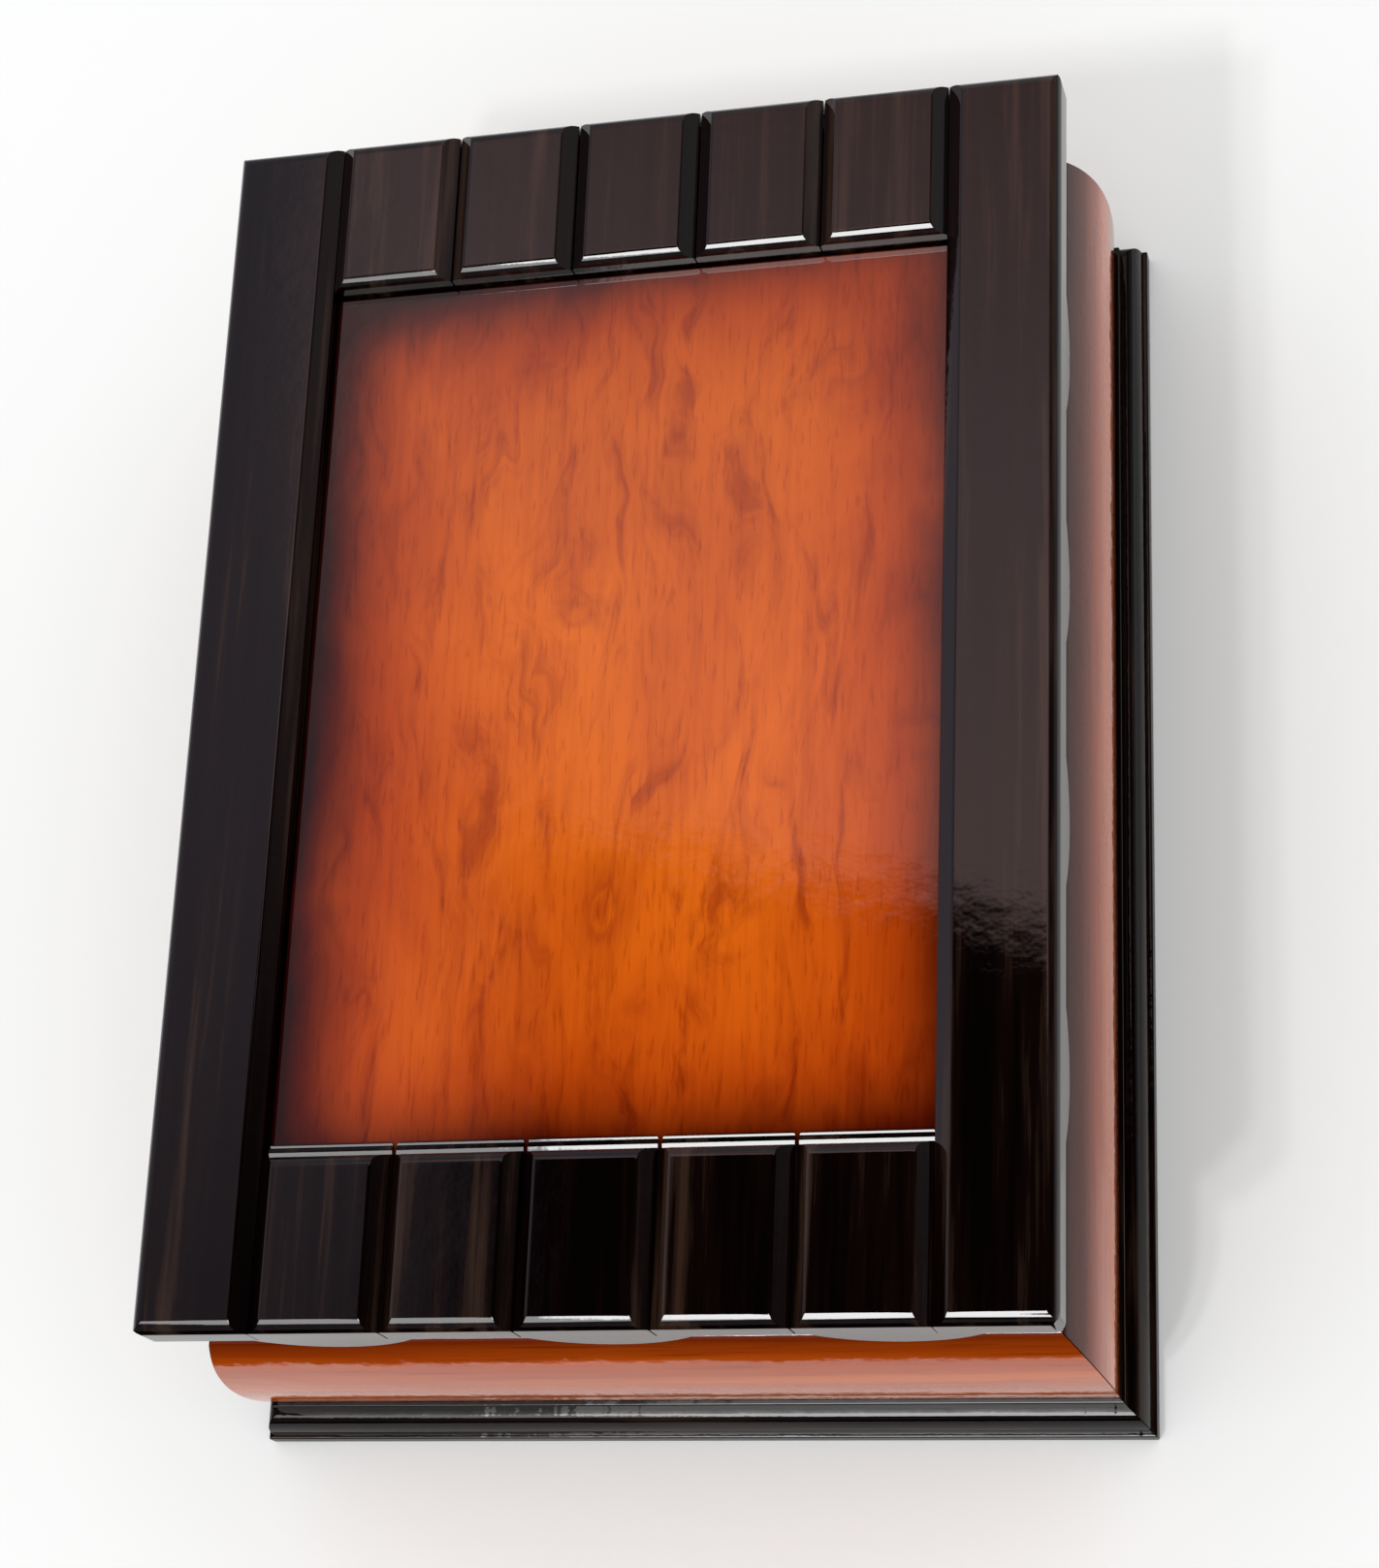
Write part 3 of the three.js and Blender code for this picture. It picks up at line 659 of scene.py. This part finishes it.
def softCorners(corners, steps=6):
    # corners are (u, v, radius); the outline comes back as plain points with arcs in place
    points = []
    for index, (u, v, radius) in enumerate(corners):
        here = Vector((u, v))
        if not radius:
            points.append(here)
            continue
        before = Vector(corners[index - 1][:2]) - here
        after = Vector(corners[(index + 1) % len(corners)][:2]) - here
        before.normalize()
        after.normalize()
        half = before.angle(after) / 2
        middle = here + (before + after).normalized() * (radius / math.sin(half))
        reach = radius / math.tan(half)
        first = here + before * reach - middle
        sweep = first.angle_signed(here + after * reach - middle)
        for i in range(steps + 1):
            turn = -sweep * i / steps
            points.append(middle + Vector((
                first.x * math.cos(turn) - first.y * math.sin(turn),
                first.x * math.sin(turn) + first.y * math.cos(turn))))
    return [tuple(point) for point in points]


def drawOutline(name, points, axis, start, end):
    # one point is drawn round the outline, the outline is filled and pulled along the axis
    def spot(u, v):
        return Vector({"x": (start, u, v), "y": (u, start, v), "z": (u, v, start)}[axis])

    bpy.ops.object.select_all(action="DESELECT")
    bpy.ops.mesh.primitive_plane_add()
    piece = bpy.context.object
    piece.name = piece.data.name = name
    bpy.ops.object.mode_set(mode="EDIT")
    bpy.ops.mesh.merge(type="CENTER")
    bpy.ops.transform.translate(value=spot(*points[0]))
    for before, after in zip(points, points[1:]):
        bpy.ops.mesh.extrude_vertices_move(
            TRANSFORM_OT_translate={"value": spot(*after) - spot(*before)})
    bpy.ops.mesh.select_all(action="SELECT")
    bpy.ops.mesh.edge_face_add()
    bpy.ops.mesh.extrude_region_move(TRANSFORM_OT_translate={"value": axes[axis] * (end - start)})
    bpy.ops.mesh.select_all(action="SELECT")
    bpy.ops.mesh.normals_make_consistent(inside=False)
    bpy.ops.object.mode_set(mode="OBJECT")
    return piece


def combine(piece, other, operation):
    pick(piece)
    cut = piece.modifiers.new("cut", "BOOLEAN")
    cut.operation = operation
    cut.solver = "EXACT"
    cut.object = other
    bpy.ops.object.modifier_apply(modifier=cut.name)
    bpy.data.objects.remove(other)
    return piece


def cutRoom(piece, low, high):
    corners = [(low[0], low[1]), (high[0], low[1]), (high[0], high[1]), (low[0], high[1])]
    return combine(piece, drawOutline("room", corners, "z", low[2], high[2]), "DIFFERENCE")


def cutAlong(piece, point, normal, dropBeyond=False):
    # cuts the faces along a plane, and can drop what lies beyond it and close the piece
    pick(piece)
    bpy.ops.object.mode_set(mode="EDIT")
    bpy.ops.mesh.select_all(action="SELECT")
    bpy.ops.mesh.bisect(plane_co=point, plane_no=normal, use_fill=dropBeyond, clear_outer=dropBeyond)
    bpy.ops.object.mode_set(mode="OBJECT")
    return piece


def soften(piece, width, segments=2, limit=35):
    pick(piece)
    edge = piece.modifiers.new("soft", "BEVEL")
    edge.width = width
    edge.segments = segments
    edge.limit_method = "ANGLE"
    edge.angle_limit = math.radians(limit)
    bpy.ops.object.modifier_apply(modifier=edge.name)
    return piece


def mergeDoubles(piece, within=0.000001):
    pick(piece)
    bpy.ops.object.mode_set(mode="EDIT")
    bpy.ops.mesh.select_all(action="SELECT")
    bpy.ops.mesh.remove_doubles(threshold=within)
    bpy.ops.object.mode_set(mode="OBJECT")
    return piece


def smooth(piece, angle=32):
    mergeDoubles(piece)
    bpy.ops.object.shade_smooth_by_angle(angle=math.radians(angle))
    weigh = piece.modifiers.new("weigh", "WEIGHTED_NORMAL")
    weigh.keep_sharp = True
    weigh.weight = 100  # the largest faces decide the shading
    bpy.ops.object.modifier_apply(modifier=weigh.name)
    return piece


def turnAndShift(piece, degrees=0, axis="Z", shift=(0, 0, 0)):
    pick(piece)
    if degrees:
        bpy.ops.transform.rotate(value=math.radians(degrees), orient_axis=axis,
                                 center_override=(0, 0, 0))
    bpy.ops.transform.translate(value=shift)
    bpy.ops.object.transform_apply(location=True, rotation=True, scale=True)
    return piece


def copyTurned(piece, name, degrees=0, shift=(0, 0, 0)):
    twin = piece.copy()
    twin.data = piece.data.copy()
    twin.name = twin.data.name = name
    bpy.context.scene.collection.objects.link(twin)
    return turnAndShift(twin, degrees, "Z", shift)


def copyNode(node, name):
    # a piece that starts from the solid's own shape
    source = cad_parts[node]
    twin = source.copy()
    twin.data = source.data.copy()
    twin.name = twin.data.name = name
    twin.parent = None
    twin.matrix_world = source.matrix_world
    bpy.context.scene.collection.objects.link(twin)
    return mergeDoubles(turnAndShift(twin))


def dress(piece, finish, body, slotName, *nodes):
    piece.data.materials.clear()
    piece.data.materials.append(finishes[finish])
    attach(piece, body)
    if nodes:
        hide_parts(*nodes)
    return piece


# lid frame: two rails and two rows of grooved end blocks

frameSetting = {
    "rimRadius": 0.002,
    "cornerRadius": 0.0018,
    "grooveHalf": 0.0025,
    "grooveDepth": 0.002,
    "crest": 0.0009,  # rounding beside a groove
    "underEdge": 0.0004,
    "innerRadius": 0.0018,
    "roundSteps": 8,
    "hair": 0.00002,  # keeps the corner's cutter off the rim's own faces
    "shadeCut": 0.0003,
    "past": 0.001,  # how far a cutter's outline runs past the piece
    "blockAngle": 28,
}

lipSetting = {
    "root": 0.0006,  # how far the lip starts inside the block
    "clearance": 0.0003,  # over the panel
    "height": 0.00036,
    "lean": 10,  # degrees, rising away from the block
    "wide": 0.0018,
    "narrow": 0.0005,
    "quirk": 0.00024,
    "quirkFloor": 0.00012,
    "crown": 0.00010,
    "crownSteps": 6,
    "inset": 0.0002,
    "endRadius": 0.0006,
    "edge": 0.00006,
    "edgeLimit": 60,
}


def makeRail(setting):
    low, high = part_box("lid_rail_right")
    past, rim, steps = setting["past"], setting["rimRadius"], setting["roundSteps"]
    crestX = low.x + setting["grooveHalf"]
    section = softCorners([
        (low.x, low.z, 0), (high.x, low.z, setting["underEdge"]), (high.x, high.z, rim),
        (crestX, high.z, setting["crest"]), (low.x, high.z - setting["grooveDepth"], 0)])
    rail = drawOutline("railRight", section, "y", low.y - past, high.y + past)
    length = softCorners([
        (low.y, low.z - past, 0), (high.y, low.z - past, 0), (high.y, high.z, rim),
        (low.y, high.z, rim)], steps)
    combine(rail, drawOutline("railLength", length, "x", low.x - past, high.x + past), "INTERSECT")
    hair, corner = setting["hair"], setting["cornerRadius"]
    plan = softCorners([
        (low.x - past, low.y - hair, 0), (high.x + hair, low.y - hair, corner),
        (high.x + hair, high.y + hair, corner), (low.x - past, high.y + hair, 0)])
    combine(rail, drawOutline("railPlan", plan, "z", low.z - past, high.z + past), "INTERSECT")
    edge = rim + setting["shadeCut"]
    for y in (low.y + edge, high.y - edge):
        cutAlong(rail, (0, y, 0), (0, 1, 0))
    return smooth(rail)


def makeBlock(setting):
    # modelled at the middle of the front row
    low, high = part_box("front_block_3")
    half, past, crest = high.x, setting["past"], setting["crest"]
    crestX = half - setting["grooveHalf"]
    valley = high.z - setting["grooveDepth"]
    section = softCorners([
        (-half, low.z - past, 0), (half, low.z - past, 0), (half, valley, 0),
        (crestX, high.z, crest), (-crestX, high.z, crest), (-half, valley, 0)])
    block = drawOutline("block", section, "y", low.y - past, high.y + past)
    rim, inner = setting["rimRadius"], setting["innerRadius"]
    length = softCorners([
        (low.y, low.z, setting["underEdge"]), (high.y, low.z, 0), (high.y, high.z, inner),
        (low.y, high.z, rim)], setting["roundSteps"])
    combine(block, drawOutline("blockLength", length, "x", -half - past, half + past), "INTERSECT")
    # short faces beside each roundover keep the long ones evenly shaded
    for y in (low.y + rim + setting["shadeCut"], high.y - inner - setting["shadeCut"]):
        cutAlong(block, (0, y, 0), (0, 1, 0))
    return block


def reed(start, width, base, setting):
    # the crowned top of one reed, drawn from the block outwards
    lean = math.tan(math.radians(setting["lean"]))
    steps = setting["crownSteps"]
    points = []
    for i in range(steps + 1):
        share = i / steps
        arch = 4 * share * (1 - share)  # 0 at both edges and 1 halfway
        crown = setting["crown"] * width / setting["wide"] * arch
        points.append((start + share * width, base + share * width * lean + crown))
    return points


def makeLip(setting):
    # two reeds along the inner end of a front block, just over the panel
    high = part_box("front_block_3")[1]
    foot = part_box("lid_panel")[1].z + setting["clearance"]
    top = foot + setting["height"]
    root, quirk = high.y - setting["root"], setting["quirk"]
    first = reed(high.y, setting["wide"], top, setting)
    valley = first[-1][0] + quirk / 2
    second = reed(first[-1][0] + quirk, setting["narrow"], top, setting)
    end = second[-1][0]
    outline = [(root, foot), (end, foot), *reversed(second), (valley, foot + setting["quirkFloor"]),
               *reversed(first), (root, top)]
    half = high.x - setting["inset"]
    lip = drawOutline("lip", outline, "x", -half, half)
    start = high.y - setting["root"] * 2
    plan = softCorners([(-half, start, 0), (half, start, 0), (half, end, setting["endRadius"]),
                        (-half, end, setting["endRadius"])])
    combine(lip, drawOutline("lipPlan", plan, "z", foot - setting["height"], high.z), "INTERSECT")
    return soften(lip, setting["edge"], limit=setting["edgeLimit"])


rail = makeRail(frameSetting)
dress(rail, "ebonyY", "lid", "dark_lacquer", "lid_rail_right")
dress(copyTurned(rail, "railLeft", 180), "ebonyY", "lid", "dark_lacquer", "lid_rail_left")
block = makeBlock(frameSetting)
lippedBlock = combine(copyTurned(block, "lippedBlock"), makeLip(lipSetting), "UNION")
blockBodies = {"front_block_1": "key_drawer", "front_block_3": "keyhole_cover"}
for row, source, degrees in (("front", lippedBlock, 0), ("rear", block, 180)):
    smooth(source, frameSetting["blockAngle"])
    for index in range(1, 6):
        node = f"{row}_block_{index}"
        low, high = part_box(node)
        twin = copyTurned(source, f"{row}Block{index}", degrees, ((low.x + high.x) / 2, 0, 0))
        dress(twin, "ebonyY", blockBodies.get(node, "lid"), "dark_lacquer", node)
    bpy.data.objects.remove(source)

panelEdge = 0.0004
panel = smooth(soften(copyNode("lid_panel", "lidPanel"), panelEdge))
dress(panel, "veneer", "lid", "figured_veneer", "lid_panel")
print("lid frame ready")


# scalloped aprons

apronSetting = {
    "edge": 0.0004,
    "slottedEdge": 0.00013,
    "radius": 0.0185,
    "straight": 0.0610,  # height of the lower edge between the lobes
    "end": {"lobes": 3, "pitch": 0.047},
    "side": {"lobes": 4, "pitch": 0.0426},
    "arcSteps": 18,
    "gap": 0.0003,
}


def scallop(low, high, span, lobes, pitch, setting, slots):
    # along the lower edge with its lobes and back along the top
    radius, steps = setting["radius"], setting["arcSteps"]
    centre = low + radius
    half = math.acos((centre - setting["straight"]) / radius)
    points = [(-span, high), (-span, setting["straight"])]
    for lobe in range(lobes):
        middle = (lobe - (lobes - 1) / 2) * pitch
        for i in range(steps + 1):
            angle = half * (2 * i / steps - 1)
            points.append((middle + radius * math.sin(angle), centre - radius * math.cos(angle)))
    points += [(span, setting["straight"]), (span, high)]
    for left, right, bottom in sorted(slots, reverse=True):
        points += [(right, high), (right, bottom), (left, bottom), (left, high)]
    return points


def makeApron(side, setting, slots=()):
    low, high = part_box(f"apron_{side}")
    if side == "right":
        axis, start, end, span, lobes = "x", low.x, high.x, high.y, setting["side"]
    else:
        axis, start, end, span, lobes = "y", low.y, high.y, high.x, setting["end"]
    outline = scallop(low.z, high.z, span, lobes["lobes"], lobes["pitch"], setting, slots)
    apron = drawOutline(f"apron{side.title()}", outline, axis, start, end)
    return smooth(soften(apron, setting["slottedEdge" if slots else "edge"]))


def slideSlots(gap):
    # room in the front apron for what slides through it
    slots = []
    for node in ("cover_runner_left", "cover_runner_right", "key_drawer_tray"):
        low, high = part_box(node)
        slots.append((low.x - gap, high.x + gap, low.z - gap))
    return slots


apron = makeApron("rear", apronSetting)
dress(apron, "ebonyX", "lid", "dark_lacquer", "apron_rear")
apron = makeApron("front", apronSetting, slideSlots(apronSetting["gap"]))
dress(apron, "ebonyX", "lid", "dark_lacquer", "apron_front")
apron = makeApron("right", apronSetting)
dress(apron, "ebonyY", "lid", "dark_lacquer", "apron_right")
dress(copyTurned(apron, "apronLeft", 180), "ebonyY", "lid", "dark_lacquer", "apron_left")
print("aprons ready")


# bowed walls and stepped base, mitred at the corners

wallSetting = {
    "belly": 0.0013,  # past the lid's edge
    "bellyHeight": 0.0135,
    "bow": 0.078,
    "neck": 0.0105,
    "shoulder": 0.0056,  # from the wall's top down to its shoulder
    "shoulderRadius": 0.0012,
    "shoulderSteps": 4,
    "inside": 0.017,
    "steps": 28,
}

baseSetting = {
    "overhang": 0.005,
    "inset": 0.013,
    "plinth": 0.0032,
    "step": 0.0008,
    "ovoloTop": 0.0092,
    "ovoloReach": 0.0024,
    "ovoloSteps": 10,
    "fillet": 0.0003,
    "filletSteps": 3,
}

mitreGap = 0.00016

cutSetting = {
    "gap": 0.0003,
    "leafThickness": 0.001,
    "leafSeam": 0.00015,  # half the space between two closed leaves
    "leafOpen": 0.002,  # how far a rebate runs past the leaf, towards the inside of the box
    "strikeOpen": 0.002,
    "past": 0.01,
    "mortise": 0.0045,
    "boltRoom": 0.0006,
}


def mitred(name, profile, edge, span, outer):
    # profile is (past the lid's edge, height), drawn along X at the front and cut at 45 degrees
    points = [(-(edge + past), z) for past, z in profile]
    strip = drawOutline(name, points, "x", -span - outer, span + outer)
    gap = mitreGap / math.sqrt(2)
    for side in (-1, 1):
        cutAlong(strip, (side * (span - gap), -edge, 0), (side, 1, 0), dropBeyond=True)
    return strip


def wallProfile(low, high, setting):
    bow, inside, neck = setting["bow"], setting["inside"], setting["neck"]
    belly = low + setting["bellyHeight"]
    centre = setting["belly"] - bow
    shoulder = high - setting["shoulder"]
    first = math.asin(-setting["bellyHeight"] / bow)
    last = math.asin((shoulder - belly) / bow)
    corners = [(-inside, low, 0)]
    for i in range(setting["steps"] + 1):
        angle = first + (last - first) * i / setting["steps"]
        radius = setting["shoulderRadius"] if i == setting["steps"] else 0
        corners.append((centre + bow * math.cos(angle), belly + bow * math.sin(angle), radius))
    corners += [(-neck, shoulder, 0), (-neck, high, 0), (-inside, high, 0)]
    return softCorners(corners, setting["shoulderSteps"])


def baseProfile(high, setting):
    overhang, inset, plinth = setting["overhang"], setting["inset"], setting["plinth"]
    fillet, steps = setting["fillet"], setting["filletSteps"]
    shoulder = overhang - setting["step"]
    top = shoulder - setting["ovoloReach"]
    climb = setting["ovoloTop"] - plinth
    profile = softCorners([(-inset, 0, 0), (overhang, 0, fillet), (overhang, plinth, fillet),
                           (shoulder, plinth, 0)], steps)
    for i in range(1, setting["ovoloSteps"] + 1):
        angle = i / setting["ovoloSteps"] * math.pi / 2
        profile.append((top + setting["ovoloReach"] * math.cos(angle),
                        plinth + climb * math.sin(angle)))
    neck = top - setting["step"]
    return profile + softCorners([(neck, setting["ovoloTop"], 0), (neck, high, fillet),
                                  (-inset, high, 0)], steps)


def cutRear(wall, setting):
    # rebates for the body leaves of the hinges
    gap, past = setting["gap"], setting["past"]
    pinLow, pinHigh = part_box("hinge_pin_left")
    bottom = (pinLow.z + pinHigh.z) / 2 - setting["leafSeam"] - setting["leafThickness"] - gap
    for leaf in ("hinge_leaf_body_left", "hinge_leaf_body_right"):
        low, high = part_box(leaf)
        cutRoom(wall, (low.x - gap, low.y - setting["leafOpen"], bottom),
                (high.x + gap, high.y + past, high.z + past))


def cutFront(wall, setting):
    # a seat for the strike plate and a hole for the bolt
    gap, room, strikeOpen = setting["gap"], setting["boltRoom"], setting["strikeOpen"]
    low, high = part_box("strike_plate")
    cutRoom(wall, (low.x - gap, low.y - gap, low.z - gap),
            (high.x + gap, high.y + strikeOpen, high.z + setting["past"]))
    boltLow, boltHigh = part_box("lock_bolt")
    cutRoom(wall, (boltLow.x - room, high.y - setting["mortise"], boltLow.z - room),
            (boltHigh.x + room, high.y + strikeOpen, boltHigh.z + room))


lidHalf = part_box("lid_rail_right")[1]
sides = [("front", lidHalf.x, lidHalf.y, "X"), ("right", lidHalf.y, lidHalf.x, "Y"),
         ("rear", lidHalf.x, lidHalf.y, "X"), ("left", lidHalf.y, lidHalf.x, "Y")]
for quarter, (side, span, edge, along) in enumerate(sides):
    low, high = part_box(f"wall_{side}")
    strip = mitred("strip", wallProfile(low.z, high.z, wallSetting), edge, span, wallSetting["belly"])
    wall = copyTurned(strip, f"wall{side.title()}", -90 * quarter)
    bpy.data.objects.remove(strip)
    if side == "rear":
        cutRear(wall, cutSetting)
    if side == "front":
        cutFront(wall, cutSetting)
    dress(smooth(wall), "amber" + along, "box", "amber_lacquer", f"wall_{side}")
    low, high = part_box(f"base_{side}")
    strip = mitred("strip", baseProfile(high.z, baseSetting), edge, span, baseSetting["overhang"])
    moulding = copyTurned(strip, f"base{side.title()}", -90 * quarter)
    bpy.data.objects.remove(strip)
    dress(smooth(moulding), "base" + along, "box", "dark_lacquer", f"base_{side}")
print("walls and base ready")


# hinge leaves with countersunk screws, and the lock case with four pan-head screws

screwSetting = {
    "apart": 0.008,
    "fromEnd": 0.0042,
    "headRadius": 0.0015,
    "shankRadius": 0.0007,
    "headHeight": 0.0007,
    "play": 0.0001,
    "below": 0.00006,  # the heads lie just under the leaf's face
    "nearEnd": 0.00008,  # the leaf's face is measured this close to its free end
    "slotWidth": 0.0004,
    "slotDepth": 0.0003,
    "edge": 0.00008,
    "edgeLimit": 50,
    "around": 40,
}

caseSetting = {
    "edge": 0.0004,
    "edgeSteps": 3,
    "screwInset": 0.003,
    "headRadius": 0.0014,
    "headHeight": 0.0006,
    "headTurn": 40,  # degrees from one screw's slot to the next
}


def makeCone(name, narrow, wide, height, setting):
    bpy.ops.object.select_all(action="DESELECT")
    bpy.ops.mesh.primitive_cone_add(vertices=setting["around"], radius1=narrow, radius2=wide,
                                    depth=height, location=(0, 0, -height / 2))
    piece = bpy.context.object
    piece.name = piece.data.name = name
    return turnAndShift(piece)


def makeHead(name, narrow, wide, height, setting):
    head = makeCone(name, narrow, wide, height, setting)
    half = setting["slotWidth"] / 2
    cutRoom(head, (-half, -2 * wide, -setting["slotDepth"]), (half, 2 * wide, height))
    return smooth(soften(head, setting["edge"], limit=setting["edgeLimit"]))


def makeLeaf(name, heads, setting):
    leaf = copyNode(name, f"{name}Drilled")
    low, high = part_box(name)
    body = "lid" if "lid" in name else "box"
    down = body == "lid"
    end = [point.co.z for point in leaf.data.vertices if point.co.y < low.y + setting["nearEnd"]]
    face = min(end) if down else max(end)
    seat = face + (setting["below"] if down else -setting["below"])
    for i in range(2):
        x = (low.x + high.x) / 2 + (i - 0.5) * setting["apart"]
        y = low.y + setting["fromEnd"]
        sink = makeCone("sink", setting["shankRadius"], setting["headRadius"] + setting["play"],
                        setting["headHeight"] + setting["play"], setting)
        turnAndShift(sink, 180 if down else 0, "X", (x, y, face))
        combine(leaf, sink, "DIFFERENCE")
        screw = copyTurned(heads[body], f"{name}Screw{i + 1}", shift=(x, y, seat))
        dress(screw, "brass", body, "brass")
    dress(smooth(leaf), "brass", body, "brass", name)


def makeCase(setting):
    case = soften(copyNode("lock_case", "lockCase"), setting["edge"], setting["edgeSteps"])
    dress(smooth(case), "steel", "lid", "steel", "lock_case")
    radius, height, inset = setting["headRadius"], setting["headHeight"], setting["screwInset"]
    panHead = turnAndShift(makeHead("panHead", radius, radius, height, screwSetting), 180, "X")
    low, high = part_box("lock_case")
    corners = [(x, y) for x in (low.x + inset, high.x - inset) for y in (low.y + inset, high.y - inset)]
    for i, (x, y) in enumerate(corners):
        screw = copyTurned(panHead, f"caseScrew{i + 1}", setting["headTurn"] * i, (x, y, low.z - height))
        dress(screw, "brass", "lid", "brass")
    bpy.data.objects.remove(panHead)


headUp = makeHead("headUp", screwSetting["shankRadius"], screwSetting["headRadius"],
                  screwSetting["headHeight"], screwSetting)
heads = {"box": headUp, "lid": turnAndShift(copyTurned(headUp, "headDown"), 180, "X")}
for leafName in ("hinge_leaf_body_left", "hinge_leaf_body_right", "hinge_leaf_lid_left",
                 "hinge_leaf_lid_right"):
    makeLeaf(leafName, heads, screwSetting)
for head in heads.values():
    bpy.data.objects.remove(head)
makeCase(caseSetting)
print("hinges and lock ready")


# everything else inside keeps its solid and gets its finish

insideFinishes = {
    "woodY": ["floor_board", "lid_board", "side_batten_left", "side_batten_right", "drawer_guide",
              "keyhole_block"],
    "stainedEnd": ["cover_runner_left", "cover_runner_right", "key_drawer_tray"],
    "woodX": ["front_batten_left", "front_batten_right", "rear_batten", "panel_bearer_front",
              "panel_bearer_rear"],
    "brass": ["keyhole_plate", "lock_plug", "strike_plate", "key"],
    "steel": ["hinge_pin_left", "hinge_pin_right", "lock_bolt"],
    "felt": ["felt_lining"],
}
for finish, names in insideFinishes.items():
    for node in names:
        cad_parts[node].data.materials.clear()
        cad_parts[node].data.materials.append(finishes[finish])
print("inside ready")
